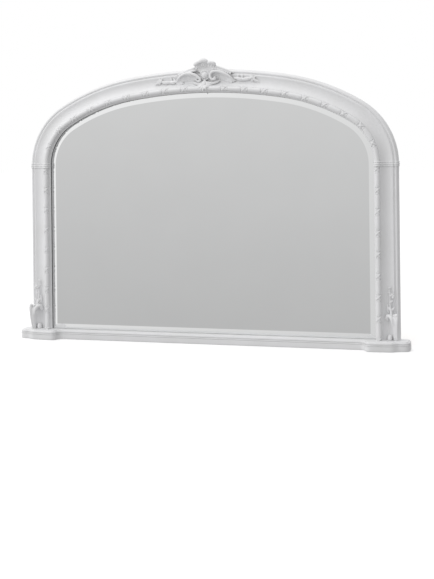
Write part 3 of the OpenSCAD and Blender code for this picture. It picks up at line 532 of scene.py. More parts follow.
# %% Stations along the reed
reed_arcs = [(corner_c, corner_r + reed_s, 0.0, corner_turn),
             (shoulder_c, shoulder_r + reed_s, corner_turn, shoulder_turn),
             (crown_c, crown_r + reed_s, side_turn, math.pi - 2 * side_turn)]
arc_lengths = [radius * span for _, radius, _, span in reed_arcs]
half_arch = arc_lengths[0] + arc_lengths[1] + arc_lengths[2] / 2
arch_spaces, tie_pitch, tie_len, first_drop, tie_count = 10, 64.5, 30.0, 14.5, 9
arch_pitch = half_arch / arch_spaces
column_ties = [-first_drop - tie_pitch * i for i in range(tie_count)]
arch_ties = [arch_pitch * i for i in range(1, arch_spaces)]
far_ties = [2 * half_arch - place for place in reversed(arch_ties)]
ties_in_order = column_ties[::-1] + arch_ties + far_ties
print("ties every %.1f mm over the arch" % arch_pitch)


def reed_at(length):
    """Centre of the reed and the direction out from the opening."""
    if length <= 0:
        return Vector((half_mm + reed_s, spring_mm + length)), Vector((1, 0))
    for centre, radius, start, span in reed_arcs:
        if length <= radius * span or start == side_turn:
            out = along(start + length / radius)
            return centre + radius * out, out
        length -= radius * span


def reed_spot(length, angle, distance):
    """A place round the reed: angle from the front, distance from its centre."""
    centre, out = reed_at(length)
    spot = centre + out * distance * math.sin(angle)
    return spot.x, spot.y, reed_f + distance * math.cos(angle)


# %% [markdown]
# A barrel is a bar with two short, thinner steps at each end, where a turner
# would round it over. Each is a stroke along the reed, and it is cut short
# where the piece of moulding that carries it ends.

# %% Barrels
barrel_step, least_barrel, barrel_lap = 5, 4, 1
round_over = ((1.6, reed_r - 0.7), (3, waist_r - 0.4))


def barrels(bm, low, high):
    """The barrels of reed between two lengths, with rounded ends."""
    shoulder = tie_len / 2 - barrel_lap
    for before, after in zip(ties_in_order, ties_in_order[1:]):
        start, end = max(before + shoulder, low), min(after - shoulder, high)
        if end - start < least_barrel:
            continue
        steps = max(2, round((end - start) / barrel_step))
        run = [(start + (end - start) * i / steps, reed_r) for i in range(steps + 1)]
        if start > low:
            run = [(start - past, radius) for past, radius in reversed(round_over)] + run
        if end < high:
            run = run + [(end + past, radius) for past, radius in round_over]
        stroke(bm, [(*reed_spot(length, 0, 0), radius) for length, radius in run],
               roundness=12, steps=1)


# %% [markdown]
# Now the pieces themselves. A column is the section pushed straight up, and an
# arc is the section spun about its centre. Each gets its ends capped and its
# own share of the barrels.

# %% A piece of moulding
def moulding_piece(name, node, mirrored, low, high, arc=None, steps=0):
    bm = bmesh.new()
    if arc is None:
        loop = section_loop(bm, half_mm, base_top / MM, 0)
        moved, end = far_row(bmesh.ops.extrude_edge_only(bm, edges=loop)["geom"])
        bmesh.ops.translate(bm, vec=(0, 0, (spring_z - base_top) / MM), verts=moved)
    else:
        centre, radius, start, turn = arc
        across = centre.x + radius * math.cos(start)
        loop = section_loop(bm, across, centre.y + radius * math.sin(start), start)
        spun = bmesh.ops.spin(bm, geom=loop, cent=(centre.x, 0, centre.y), axis=(0, -1, 0),
                              angle=turn, steps=steps, use_duplicate=False)
        end = [g for g in spun["geom_last"] if isinstance(g, bmesh.types.BMEdge)]
    cap(bm, loop)
    cap(bm, end)
    barrels(bm, low, high)
    in_place(bm, mirrored)
    keep(bm, name, paint, node, hard=28)


# %% [markdown]
# The reed is measured from the springing, up over the arch, and below it down
# the column. Each piece takes the barrels of its own stretch, so the pieces end
# where the real frame is jointed.

# %% Columns and head
to_shoulder, to_crown = arc_lengths[0], arc_lengths[0] + arc_lengths[1]
corner_steps, shoulder_steps, crown_steps = 40, 36, 48
for hand, mirrored in both_hands:
    moulding_piece(hand + "_column_moulding", hand + "_column", mirrored,
                   (base_top - spring_z) / MM, 0)
    moulding_piece(hand + "_corner_moulding", hand + "_corner", mirrored, 0, to_shoulder,
                   (corner_c, corner_r, 0, corner_turn), corner_steps)
    moulding_piece(hand + "_shoulder_moulding", hand + "_shoulder", mirrored, to_shoulder,
                   to_crown, (shoulder_c, shoulder_r, corner_turn, shoulder_turn),
                   shoulder_steps)
moulding_piece("crown_moulding", "head_crown", False, to_crown, 2 * half_arch - to_crown,
               (crown_c, crown_r, side_turn, math.pi - 2 * side_turn), crown_steps)

# %% [markdown]
# Each tie is two ribbons that cross over the reed, between the rolled ends of
# two barrels. The ribbons are wound as strokes round the core, a little prouder
# than the barrels, and fused.

# %% Ribbon ties
side_deg, ribbon_half, roll_half = 82, 2.1, 1.4
ribbon_reach, ribbon_out = 9.0, 6.5
roll_in, roll_bow, roll_out = 0.6, 3.2, 6.9
tie_angles = [math.radians(side_deg * k / 5) for k in range(-5, 6)]


def tie(bm, place):
    """Two crossed ribbons and the two rolls beside them, at a place on the reed."""
    for way in (-1, 1):
        ribbon = [(*reed_spot(place + way * ribbon_reach * a / tie_angles[-1], a, ribbon_out),
                   ribbon_half) for a in tie_angles]
        stroke(bm, ribbon, steps=2)
        roll = [(*reed_spot(place + way * (tie_len / 2 - roll_in - roll_bow * math.cos(a)), a,
                            roll_out), roll_half) for a in tie_angles]
        stroke(bm, roll, steps=2)


for hand, mirrored in both_hands:
    for group, places in (("_arch_ties", arch_ties), ("_ties", column_ties)):
        bm = bmesh.new()
        for place in places:
            tie(bm, place)
        carve(bm, hand + group + "_carving", hand + group, (0, 0), mirrored, rub=1)

# %% [markdown]
# A collar covers each springing. It is three cords side by side, bent over the
# whole moulding, so each is one stroke along the front of the section, drawn
# out where it crosses a barrel of the reed.

# %% Collars
cords = ((-5.8, 2.5), (0, 2.9), (5.8, 2.5))
collar_foot, on_waist = -14, 0.2
reed_middle = Vector((reed_s, reed_f))
front_of_section = section[1:-4]
collar_line = []
for spot in front_of_section:
    out = spot - reed_middle
    if abs(out.length - waist_r) < on_waist:
        spot = reed_middle + out * (reed_r / waist_r)
    collar_line.append(spot)
collar_line[-1] = Vector((face_w + flare, collar_foot))
for hand, mirrored in both_hands:
    bm = bmesh.new()
    for up, half in cords:
        stroke(bm, [(s, up, f, half) for s, f in collar_line], steps=1)
    carve(bm, hand + "_collar_beads", hand + "_collar", (half_mm, spring_mm), mirrored, rub=2)

# %% [markdown]
# ## The base
# The base is a breakfront board with a small moulding planted on top. A maker
# would cut one plan, run its edge with a cutter and then the moulding the same
# way. Here the front edge is one line from the middle to the wall, mirrored for
# the left half. Drawn in evenly it gives each level of an edge profile, while
# the back stays flat against the wall.

# %% Plan of the base
shelf_out, block_out, block_lead, ogee_r = 25.0, 53.0, 46.0, 17.0
base_over, ear_w, ear_in, fascia_h, step_h = 35.0, 44.0, 13.0, 20.5, 9.5
shelf_d, block_d = glass_face + shelf_out, glass_face + block_out
base_half = half_mm + face_w + base_over
ogee_x = half_mm - block_lead
ogee_deg = math.degrees(math.acos(1 - (block_d - shelf_d) / (2 * ogee_r)))
ogee_run = 2 * ogee_r * math.sin(math.radians(ogee_deg))
ear_step, ear_turn, block_fall, block_end = 6, 18, 5, 38
ear_x, ear_d = base_half - ear_w, block_d - ear_step - ear_in


def bezier(a, b, c, d, steps):
    """Points on a curve from a to d that leaves towards b and comes from c."""
    a, b, c, d = (Vector(p) for p in (a, b, c, d))
    return [(1 - t) ** 3 * a + 3 * (1 - t) ** 2 * t * b + 3 * (1 - t) * t * t * c + t ** 3 * d
            for t in (i / steps for i in range(1, steps + 1))]


block_x = ogee_x + ogee_run
front_line = [Vector((0, shelf_d))]
front_line += circle_part((ogee_x, shelf_d + ogee_r), ogee_r, -90, -90 + ogee_deg, 10)
front_line += circle_part((block_x, block_d - ogee_r), ogee_r, 90 + ogee_deg, 90, 10)[1:]
front_line += bezier((block_x, block_d), (block_x + 20, block_d),
                     (ear_x - block_end, block_d - block_fall),
                     (ear_x - ear_turn, block_d - block_fall), 6)
front_line += bezier((ear_x - ear_turn, block_d - block_fall), (ear_x + 2, block_d - 5.5),
                     (ear_x, ear_d + 1.5), (ear_x + ear_turn, ear_d), 12)
front_line += bezier((ear_x + ear_turn, ear_d), (base_half - 6, ear_d - 1),
                     (base_half, ear_d - 10), (base_half, ear_d - 28), 12)


def plan_at(inset):
    """The plan drawn in from its front edge, as points about the glass face."""
    half = []
    last = len(front_line) - 1
    for i, here in enumerate(front_line):
        way = front_line[min(i + 1, last)] - front_line[max(i - 1, 0)]
        if i in (0, last):
            way = Vector((1, 0)) if i == 0 else Vector((0, -1))
        way.normalize()
        half.append((here.x + way.y * inset, glass_face - here.y + way.x * inset))
    front = [(-x, y) for x, y in reversed(half[1:])] + half
    return front + [(front[-1][0], glass_face), (front[0][0], glass_face)]


print("half width of the base", base_half)

# %% [markdown]
# Two workshop steps follow: running an edge profile round the plan, which is a
# bridge from level to level, and cutting a shape out of a solid one, which is
# an exact boolean.

# %% Edges and cuts
def hollow_out(bm, cutters):
    """Take the cutters, closed shapes in one bmesh, out of a closed shape."""
    for shape in (bm, cutters):
        bmesh.ops.recalc_face_normals(shape, faces=shape.faces)
    block, tool = block_of("rough", bm), block_of("cutters", cutters)
    cut = block.modifiers.new("cut", "BOOLEAN")
    cut.operation, cut.solver, cut.object = "DIFFERENCE", "EXACT", tool
    out = shaped(block)
    clear_away([block, tool])
    return out


def box(bm, low, high):
    made = bmesh.ops.create_cube(bm, size=1)["verts"]
    bmesh.ops.scale(bm, vec=[b - a for a, b in zip(low, high)], verts=made)
    bmesh.ops.translate(bm, vec=[(a + b) / 2 for a, b in zip(low, high)], verts=made)


def edge_run(profile):
    """The plan carried up through an edge profile of (inset, height)."""
    bm = bmesh.new()
    rows = [line_of_edges(bm, [(x, y, z) for x, y in plan_at(inset)]) for inset, z in profile]
    for lower, upper in zip(rows, rows[1:]):
        bmesh.ops.bridge_loops(bm, edges=lower + upper)
    cap(bm, rows[0])
    cap(bm, rows[-1])
    return bm


# %% [markdown]
# The board has its bottom edge eased, so it doesn't chip, and a bead along its
# top edge above a fine quirk. A groove in the top holds the foot of the glass,
# and four countersunk holes take the long screws.

# %% Base board
groove_depth, slot_gap, past_top = 1.5, 0.5, 5
screw_d, sink_over, sink_foot = 5.0, 0.4, 0.5
screw_lines = (ledge_out + 8, face_w - 12)
board_profile = [(2.4, 0), (1.2, 0.5), (0.5, 1.4), (0.2, 2.8), (0.2, 16.1), (1.6, 16.5),
                 (1.6, 17.0), (0.5, 17.4), (0, 18.2), (0, 19.2), (0.4, 20.0), (1.2, fascia_h)]
cutters = bmesh.new()
box(cutters, (-half_mm - rebate_w, -slot_gap, fascia_h - groove_depth),
    (half_mm + rebate_w, glass_t + slot_gap, fascia_h + past_top))
for side in (-1, 1):
    for s in screw_lines:
        place = Matrix.Translation((side * (half_mm + s), glass_face / 2, 0))
        bmesh.ops.create_cone(cutters, cap_ends=True, segments=32, radius1=screw_d + sink_over,
                              radius2=screw_d * sink_foot, depth=screw_d, matrix=place)
board = hollow_out(edge_run(board_profile), cutters)
in_place(board)
keep(board, "base_board_run", paint, "base_board", hard=30)

# %% [markdown]
# The moulding on top has a flat band above a quirk and a small rounded step. It
# is cut away at the back for the glass and the backing board, one box at a
# time, because boxes that overlap in one mesh make a boolean fail.

# %% Base moulding
past_back, past_foot, last_inset = 5, 3, 11.0
step_profile = [(2.5, 0), (2.5, 1.0), (1.2, 1.3), (0.8, 1.9), (0.8, 4.6), (1.3, 5.3), (2.6, 5.7),
                (4.4, 5.9), (4.6, 6.5), (4.9, 7.6), (5.8, 8.7), (7.4, 9.3), (9.6, 9.45),
                (last_inset, step_h)]
moulding = edge_run([(inset, fascia_h + z) for inset, z in step_profile])
for reach, front in ((rebate_w, -slot_gap), (ledge_out, glass_t)):
    cutter = bmesh.new()
    box(cutter, (-half_mm - reach, front, fascia_h - past_foot),
        (half_mm + reach, glass_face + past_back, fascia_h + step_h + past_top))
    moulding = hollow_out(moulding, cutter)
in_place(moulding)
keep(moulding, "base_moulding_run", paint, "base_moulding", hard=30)

# %% [markdown]
# ## The crest
# A rococo crest: a shell, a round boss in front of it, a C-scroll to each side,
# sprays of leaves along the hollow and a pendant of leaves over the reed. The
# two halves differ a little, as carved ones do. Every list below is a line on
# the carver's drawing: across and up from the boss, height and half width.
#
# The shell comes first: a fluted fan of ribs, closed behind by thicker ones,
# under three rolled lips with knobs on them.

# %% Crest: shell
boss_height = 53.5
crest_at = (0, crown_z + boss_height)
ribs_deg, rib_step_deg, rib_reach, rib_swell = 56, 8, 33, 5
lip_spacing, lip_middle = (-27, -20, -9, -1, 7, 18, 27), 10
seat_back_r, seat_front_r, seat_depth = 16.5, 16, 14
bm = bmesh.new()
for degrees in range(-ribs_deg, ribs_deg + 1, rib_step_deg):
    a = math.radians(degrees)
    reach = rib_reach + rib_swell * math.cos(a)
    stroke(bm, [(-r * math.sin(a), r * math.cos(a), height, half)
                for r, height, half in ((13, 5, 1.5), (22, 3.4, 2.0), (29, 4.4, 2.4),
                                        (reach, 8.4, 3.2))])
    stroke(bm, [(-r * math.sin(a), r * math.cos(a), height, half)
                for r, height, half in ((8, 0, 5), (20, -2, 4.5), (reach - 2, 1, 5))])
shell_lips = [
    [(-35, 32, 9, 3.2), (-29, 35.6, 11, 6), (-22, 38.4, 12.5, 7), (-16, 40.4, 12, 5.6)],
    [(-18, 40, 10.5, 4.4), (-12, 43.6, 12.5, 6.6), (-3, 46, 13.5, 7.4), (5, 44, 13, 7),
     (11, 38.6, 11, 4)],
    [(10, 37.6, 10.5, 4), (16, 39, 12.5, 5.4), (26, 38.4, 12.5, 5.4), (32, 36, 11.5, 4.8),
     (35, 31.6, 9, 3)]]
for lip in shell_lips:
    stroke(bm, lip)
    stroke(bm, [(x * 0.94, y - 4, height - 6.5, half) for x, y, height, half in lip])
for x in lip_spacing:
    knob_y = 38.5 if abs(x) > lip_middle else 42
    stroke(bm, [(x * 0.62, 24, 5, 2), (x * 0.9, knob_y - 6, 10, 2.4), (x, knob_y, 13.4, 4.6)])
bmesh.ops.create_cone(bm, cap_ends=True, segments=48, radius1=seat_back_r,
                      radius2=seat_front_r, depth=seat_depth,
                      matrix=Matrix.Rotation(math.radians(90), 4, "X"))
carve(bm, "shell_carving", "crest_shell", crest_at)

# %% [markdown]
# Under the arm of each scroll the wood is hollowed, so the arm seems to stand
# free. That hollow is a thin web: a row of edges under the arm is extruded down
# in steps until it dives into the moulding, and the sheet gets a thickness.

# %% Crest: the hollow under a scroll
web_t = 3.2
web_fall = [(-1, 9, 1.0), (3, 6.4, 1.0), (8, 4.2, 1.0), (14, 2.8, 1.0), (19, 0.6, 0.99),
            (24, -3, 0.98)]


def web(bm, line, fall=web_fall):
    """A hollow sheet below a line, through steps of (drop, height, width)."""
    middle = (line[0][0] + line[-1][0]) / 2
    row = line_of_edges(bm, [(spot.x, -fall[0][1], spot.y - fall[0][0])
                             for spot in smooth_run([(x, y, 0) for x, y in line])], False)
    sheet = []
    for (drop, height, width), (lower, next_height, next_width) in zip(fall, fall[1:]):
        grown = bmesh.ops.extrude_edge_only(bm, edges=row)["geom"]
        sheet += [g for g in grown if isinstance(g, bmesh.types.BMFace)]
        moved, row = far_row(grown)
        bmesh.ops.translate(bm, vec=(-middle, height - next_height, drop - lower), verts=moved)
        bmesh.ops.scale(bm, vec=(next_width / width, 1, 1), verts=moved)
        bmesh.ops.translate(bm, vec=(middle, 0, 0), verts=moved)
    bmesh.ops.recalc_face_normals(bm, faces=sheet)
    bmesh.ops.solidify(bm, geom=sheet, thickness=web_t)


# %% [markdown]
# The left scroll rolls up from the moulding, runs in an arm to the boss and
# ends in an eye. A leafy shoulder lies over it, with a row of small beads, and
# a fan of leaves spreads from its root.

# %% Crest: left scroll
def fan(bm, root, tips, half, height):
    """Leaves that spread from one root."""
    for tip in tips:
        leaf(bm, root, tip, half, height)


bm = bmesh.new()
stroke(bm, [(-92, -19, 6, 2.6), (-87, -11, 9.4, 3.6), (-78, -2, 12, 4.4), (-66, 4, 14, 4.8),
            (-54, 6, 15, 5), (-42, 5, 15.6, 5), (-32, 2, 16, 4.8), (-24.5, -2, 16, 4.6),
            (-18, -7.4, 15.6, 4.4), (-13.6, -12.6, 15, 4.2), (-14.6, -17.6, 14.4, 4),
            (-19.8, -18.6, 14, 3.8), (-24.6, -15, 14, 3.8), (-26.4, -10.4, 15, 4.6)])
web(bm, [(-88, -13), (-84, -8), (-77, -1), (-66, 4), (-54, 6), (-42, 5), (-33, 2), (-27, -3),
         (-21, -7)])
stroke(bm, [(-31, 23, 5, 3.4), (-40, 20.6, 5.5, 4.6), (-49, 17.4, 5.5, 5), (-60, 13.4, 5, 4.6),
            (-72, 9, 4.4, 4), (-83, 5.4, 3.6, 3.4), (-92, 3, 2.4, 1.4)])
stroke(bm, [(-28, 14.6, 8, 2.6), (-36, 14.4, 8.8, 3.4), (-47, 11, 8.8, 3.8), (-62, 9, 7, 2.6)])
stroke(bm, [(-26, 18, 2, 5), (-45, 14.5, 2, 5), (-62, 10, 1.6, 4), (-80, 3, 1, 3)])
for i in range(4):
    bead(bm, -84 + 2.4 * i, 1 - 2.5 * i, 5, 2.6)
fan(bm, (-88, -18), ((-66, -25), (-71, -30), (-79, -33), (-87, -32), (-94, -28)), 3.0, 5)
carve(bm, "left_scroll_carving", "crest_left_scroll", crest_at)

# %% [markdown]
# The right scroll rises higher and its eye curls the other way round. The
# second line of its shoulder is a rope of beads, threaded on a thin core so
# that they stay one piece.

# %% Crest: right scroll
bm = bmesh.new()
stroke(bm, [(92, -18, 6, 2.6), (86, -11, 9.4, 3.6), (77, -3, 12, 4.4), (64, 3.4, 14, 4.8),
            (50, 9, 15, 5), (39.5, 11.2, 15.6, 5), (30.6, 11, 16, 4.9), (24.4, 8, 16, 4.6),
            (20.4, 3.2, 15.6, 4.4), (19.4, -3, 15, 4.3), (21, -9.4, 14.6, 4.2),
            (26, -13.4, 14.2, 4.2), (32, -13.2, 14.2, 4.4), (35, -9.8, 14.4, 4.4),
            (31, -7, 15, 4.4)])
web(bm, [(88, -13), (83, -8), (75, -1), (63, 4), (50, 9), (40, 11), (31, 11), (25, 7),
         (21, 2)])
stroke(bm, [(32, 28.6, 5, 2.8), (42, 25.2, 5, 3.6), (54, 20.8, 5, 3.6), (69, 14.8, 4.4, 3.6),
            (81, 9.8, 3.6, 3.2), (93, 6, 2.4, 1.6)])
stroke(bm, [(26, 22.5, 2, 5), (42, 20, 2, 5), (60, 14, 2, 4.4), (80, 6.5, 1, 3.4)])
rope = [(29, 20.4, 8, 2.8), (38, 17.6, 8.4, 3.2), (50, 13.8, 8.4, 3.6), (66, 7.6, 7.2, 3.6),
        (82, 1.8, 5, 3)]
stroke(bm, [(x, y, height - 1.4, half - 1) for x, y, height, half in rope])
for i in range(9):
    bead(bm, 30 + 6.4 * i, 20.6 - 1.75 * i - 0.055 * i * i, 9.2 - 0.4 * i, 3.5)
fan(bm, (86, -14), ((72, -21), (79, -25.5), (87, -26), (95, -24.5), (101, -20)), 2.8, 5)
carve(bm, "right_scroll_carving", "crest_right_scroll", crest_at)

# %% [markdown]
# A spray lies in the hollow beside each scroll: a swelling stem with two
# leaflets and a flower of six leaves at its end.

# %% Crest: sprays
bm = bmesh.new()
stroke(bm, [(-90, -18, 4, 2.6), (-97, -19, 4, 4.6), (-105, -20, 4, 6), (-117, -19.4, 3.6, 4.4),
            (-127, -20.4, 3.4, 5.8), (-137, -19, 3.4, 4.6), (-145, -16, 3, 2.4)])
leaf(bm, (-108, -16), (-114, -3.5), 3, 4)
leaf(bm, (-97, -15), (-104, -7), 2.6, 4)
fan(bm, (-145, -16.5), ((-140, -5), (-152, -6), (-159, -14), (-167, -27), (-152, -27),
                        (-159, -21)), 3.4, 4.4)
bead(bm, -145, -16.5, 5.4, 3.8)
carve(bm, "left_spray_carving", "crest_left_spray", crest_at)

bm = bmesh.new()
stroke(bm, [(93, -10.6, 4, 2.8), (102, -11.6, 4, 4.6), (112, -14.4, 4, 5.6),
            (120, -15.4, 3.6, 4.8), (130, -14.8, 3.4, 6), (141, -13.4, 3.4, 5.2),
            (150, -11.4, 3, 2.6)])
leaf(bm, (118, -12), (122, 1), 3, 4)
leaf(bm, (104, -8), (110, 0), 2.6, 4)
fan(bm, (149, -12), ((143, -2.5), (156, -1.5), (165, -8), (165, -19), (175, -26), (153, -24)),
    3.4, 4.4)
bead(bm, 149, -12, 5.4, 3.8)
carve(bm, "right_spray_carving", "crest_right_spray", crest_at)

# %% [markdown]
# The pendant hangs from the boss: two long leaves like wings, and a cluster of
# five short ones that lap over the reed and stand proud of it.

# %% Crest: pendant
short_leaves = ((-33, 20, 16.5, -39.5, 24), (-35, 23, 10.5, -47.5, 27.5), (-33, 17, 19, -36, 18))
bm = bmesh.new()
stroke(bm, [(0, -16, 8, 5), (0, -21, 10, 5.6), (0, -26, 12.4, 5.8), (-1, -32, 18, 4.6),
            (-1, -39, 23, 4)])
stroke(bm, [(-3, -22, 10, 4), (-11, -25, 10.4, 5), (-21, -26.4, 10, 5.2), (-31, -24, 8.6, 4.2),
            (-40, -19.6, 6, 2)])
stroke(bm, [(3, -22, 10, 4), (11, -25, 10.4, 5), (21, -26.4, 10.4, 5), (33, -24, 9.4, 4.6),
            (43, -20.4, 8, 3.6), (49, -16.6, 6, 1.8)])
for side in (-1, 1):
    stroke(bm, [(side * 5, -27, 13, 3), (side * 13, -31.6, 13.6, 4.2), (side * 22, -33.4, 12, 1.8)])
    for root_y, root_f, tip_x, tip_y, tip_f in short_leaves:
        middle = (side * tip_x * 0.55, (root_y + tip_y) / 2, (root_f + tip_f) / 2 + 1.6, 3.8)
        stroke(bm, [(0, root_y, root_f, 1.8), middle, (side * tip_x, tip_y, tip_f, 1.6)])
stroke(bm, [(-1, -37, 24, 2.4), (-1, -45, 27.4, 3.6), (-1, -52, 28, 1.6)])
carve(bm, "pendant_carving", "crest_pendant", crest_at)

# %% [markdown]
# The boss is a turned button: a low dome inside a raised ring. A turner works
# it from one profile, so here one profile is spun.

# %% Boss
boss_r, boss_seat, ring_half = 12.5, 7.0, 2.2
dome_share, dome_edge_deg, ring_lap, ring_up = 0.72, 3, 0.6, 0.4
dome_rise = boss_r * dome_share
dome_r = (boss_r ** 2 + dome_rise ** 2) / (2 * dome_rise)
dome_deg = math.degrees(math.asin(boss_r / dome_r))
profile = circle_part((0, boss_seat + dome_rise - dome_r), dome_r, 90,
                      90 - dome_deg + dome_edge_deg, 14)
profile += circle_part((boss_r + ring_half * ring_lap, boss_seat + ring_up), ring_half,
                       150, -10, 12)
bm = bmesh.new()
edges = line_of_edges(bm, [(x, -f, 0) for x, f in profile], closed=False)
bmesh.ops.spin(bm, geom=edges, cent=(0, 0, 0), axis=(0, 1, 0), angle=2 * math.pi, steps=72,
               use_merge=True, use_duplicate=False)
bmesh.ops.remove_doubles(bm, verts=bm.verts, dist=0.01)
bmesh.ops.translate(bm, vec=(crest_at[0], 0, crest_at[1]), verts=bm.verts)
in_place(bm)
keep(bm, "boss_turning", ornament_paint, "crest_boss", hard=60)

# %% [markdown]
# ## Leaf feet
# A cupped acanthus leaf hides the joint of each column and the base. Its bowl
# is a loft: level sections, one above the other, are bridged. Each section goes
# from the hollow over the rim to the outer lobe and back into the moulding.

# %% Leaf feet: bowl
cup = [(-4, 57, 8, 62, 17, 2), (20, 56.5, 14, 63, 23, 1.5), (40, 55, 20, 64, 26, 1),
       (55, 53, 24, 64.5, 28, 1), (66, 51, 21, 65, 24, 1), (73, 50, 12, 64, 17, -1),
       (78, 50, 5, 62, 9, -3)]
buried = -8


def cup_section(y, rim, rim_f, lobe, lobe_f, bowl):
    """One level of the cup: across, up and height of each of its points."""
    return [(rim - 20, y, buried), (rim - 18, y, bowl - 2.5), (rim - 10, y, bowl + 2),
            (rim - 5, y, (bowl + rim_f) / 2), (rim, y, rim_f),
            ((rim + lobe) / 2, y, rim_f - 3), (lobe, y, lobe_f), (lobe + 3, y, lobe_f - 5),
            (lobe + 2, y, -1), (lobe, y, buried)]


def foot_bowl(bm):
    rows = [smooth_run(list(column), 4) for column in zip(*(cup_section(*c) for c in cup))]
    loops = [line_of_edges(bm, [(s, -f, y) for s, y, f in level]) for level in zip(*rows)]
    for below, above in zip(loops, loops[1:]):
        bmesh.ops.bridge_loops(bm, edges=below + above)
    cap(bm, loops[0])
    cap(bm, loops[-1])
    bmesh.ops.recalc_face_normals(bm, faces=bm.faces)


# %% [markdown]
# Strokes lie over the bowl: the body of the leaf, a rim that rolls over into a
# curl with a toothed end, and an outer lobe with teeth and a knob. A small bud
# sits in the bowl, close to the base.

# %% Leaf feet: rims
leaf_body = [(60.5, -6, 7, 7), (60.5, 20, 14.5, 8), (60.5, 45, 18.5, 9.4),
             (59, 60, 18.5, 10.4), (58, 70, 14, 8.6), (58, 76, 9, 6)]
rim_and_curl = [(57, -5, 8, 2.8), (56.5, 20, 14, 3.2), (55, 40, 20.5, 3.6), (52.5, 54, 25, 4.4),
                (50, 65, 25, 5.2), (46, 71.5, 22, 5.6), (41, 73.5, 17, 5.2),
                (37, 70.5, 13, 4.6), (36, 65, 10.5, 4), (38.5, 60.5, 9, 3)]
curl_teeth = [(38.4, 77.4, 15.5, 2.8), (34.4, 75.4, 13, 2.8), (32.2, 70.6, 10.6, 2.7),
              (32, 65, 9, 2.5), (34, 60, 7.4, 2.2)]
outer_lobe = [(63, -5, 13, 3), (64, 20, 21.5, 3.4), (65, 40, 25, 3.8), (65.5, 58, 27, 4.4),
              (66, 70, 26, 5), (65, 78, 24, 4)]
lobe_teeth = [(62, 55, 28.6), (61.5, 61, 28.6), (61, 67, 27.6), (60, 73, 25)]
bowl_bud = [(43, -4, 6, 6.4), (43, 4, 8.6, 7.6), (43, 10, 9, 7), (43, 16, 7.4, 4.8)]


def foot_rims(bm):
    for line in (leaf_body, rim_and_curl, outer_lobe, bowl_bud):
        stroke(bm, line)
    for tooth in curl_teeth:
        bead(bm, *tooth)
    for s, y, f in lobe_teeth:
        stroke(bm, [(s + 3, y, f, 2), (s - 3, y + 2, f - 3, 2), (s - 7, y + 5, f - 6, 1.2)])
    bead(bm, 64.5, 77, 25, 6)


# %% [markdown]
# A sprig climbs the hollow from behind the curl. It has a thin stem, leaflets,
# a looped tendril, buds at its tip and a bell flower, whose petals stand round
# a low middle so that its mouth is dark.

# %% Leaf feet: sprig
stem = [(48, 70, 20, 3.6), (47, 84, 13, 3), (45, 98, 9, 2.6), (44, 114, 8, 2.3),
        (44.5, 130, 8, 2.1), (43, 144, 7, 2), (41, 156, 6.5, 1.5)]
tendril = [(37, 104, 6.3, 2), (35.4, 96, 7, 1.7), (37, 88, 8, 1.7), (41.6, 82, 10, 1.7)]
leaflets = [((47, 88), (58, 100), 3.4, 10), ((45, 86), (36.5, 103), 3.2, 9),
            ((44, 112), (54, 122), 3, 9), ((43, 146), (36.4, 139), 2.2, 7)]
sprig_buds = [(38, 105, 6.5, 2.8), (41.5, 156, 6.6, 3), (46, 158, 6, 2.2)]
flower, petal_tips = (50.5, 131), ((44, 135), (48, 141), (54, 141), (58, 135), (56, 127))


def foot_sprig(bm):
    stroke(bm, stem)
    stroke(bm, tendril)
    for leaflet in leaflets:
        leaf(bm, *leaflet)
    for bud in sprig_buds:
        bead(bm, *bud)
    for s, y in petal_tips:
        stroke(bm, [(*flower, 8, 1.6), ((flower[0] + s) / 2, (flower[1] + y) / 2, 12.5, 2.6),
                    (s, y, 12.6, 2.2)])


def leaf_foot(name, node, mirrored):
    bm = bmesh.new()
    foot_bowl(bm)
    foot_rims(bm)
    foot_sprig(bm)
    carve(bm, name, node, (half_mm, base_top / MM), mirrored)


leaf_foot("left_foot_carving", "left_leaf_foot", True)
leaf_foot("right_foot_carving", "right_leaf_foot", False)

# %% [markdown]
# ## The studio
# The floor is pale and gives a little light of its own, so that it ends in the
# same white as the wall of light behind. It is hidden from the mirror and from
# the paint, which the world lights.

# %% Floor
floor_size, floor_light = 20, 0.22
bm = bmesh.new()
bmesh.ops.create_grid(bm, x_segments=1, y_segments=1, size=floor_size)
floor = block_of("floor", bm)
floor.visible_glossy = False
floor.visible_diffuse = False
floor_finish, floor_tree, floor_shader = new_finish("floor_paint")
floor_tone = ramp(floor_tree, grain(floor_tree, scale=2, detail=2).outputs["Fac"],
                  [(0.3, (0.90, 0.90, 0.90)), (0.7, (0.93, 0.93, 0.93))])
floor_tree.links.new(floor_tone.outputs["Color"], floor_shader.inputs["Base Color"])
set_inputs(floor_shader, {"Roughness": 0.9, "Emission Color": (1, 1, 1, 1),
                          "Emission Strength": floor_light})
floor.data.materials.append(floor_finish)
print("floor", 2 * floor_size, "m across")

# %% [markdown]
# Two soft lamps, one high on the left and one above, model the reed and the
# ornament. They are hidden from reflections, so the mirror doesn't show them.

# %% Lamps
def area_light(name, place, target, size, watts):
    data = bpy.data.lights.new(name, "AREA")
    data.size = size
    data.energy = watts
    lamp = put_in_scene(name, data)
    lamp.location = place
    lamp.rotation_euler = (Vector(target) - Vector(place)).to_track_quat("-Z", "Y").to_euler()
    lamp.visible_glossy = False
    print(name, watts, "W")


middle = (0, 0, 0.45)
area_light("key_upper_left", (-1.8, -1.8, 2.4), middle, size=1.4, watts=10)
area_light("top", (0.1, -0.5, 2.6), middle, size=1.2, watts=5)

# %% [markdown]
# The rest of the light comes from the world, which is a room drawn by direction.
# It needs some arithmetic on the direction of a ray, so these helpers come
# first: a sum, a graded value, a mix and a window of directions.

# %% Helpers for the room
world = bpy.data.worlds.new("studio")
bpy.context.scene.world = world
world.use_nodes = True
sky = world.node_tree
sky.nodes.clear()
direction = add(sky, "ShaderNodeTexCoord")
split = add(sky, "ShaderNodeSeparateXYZ")
sky.links.new(direction.outputs["Generated"], split.inputs["Vector"])


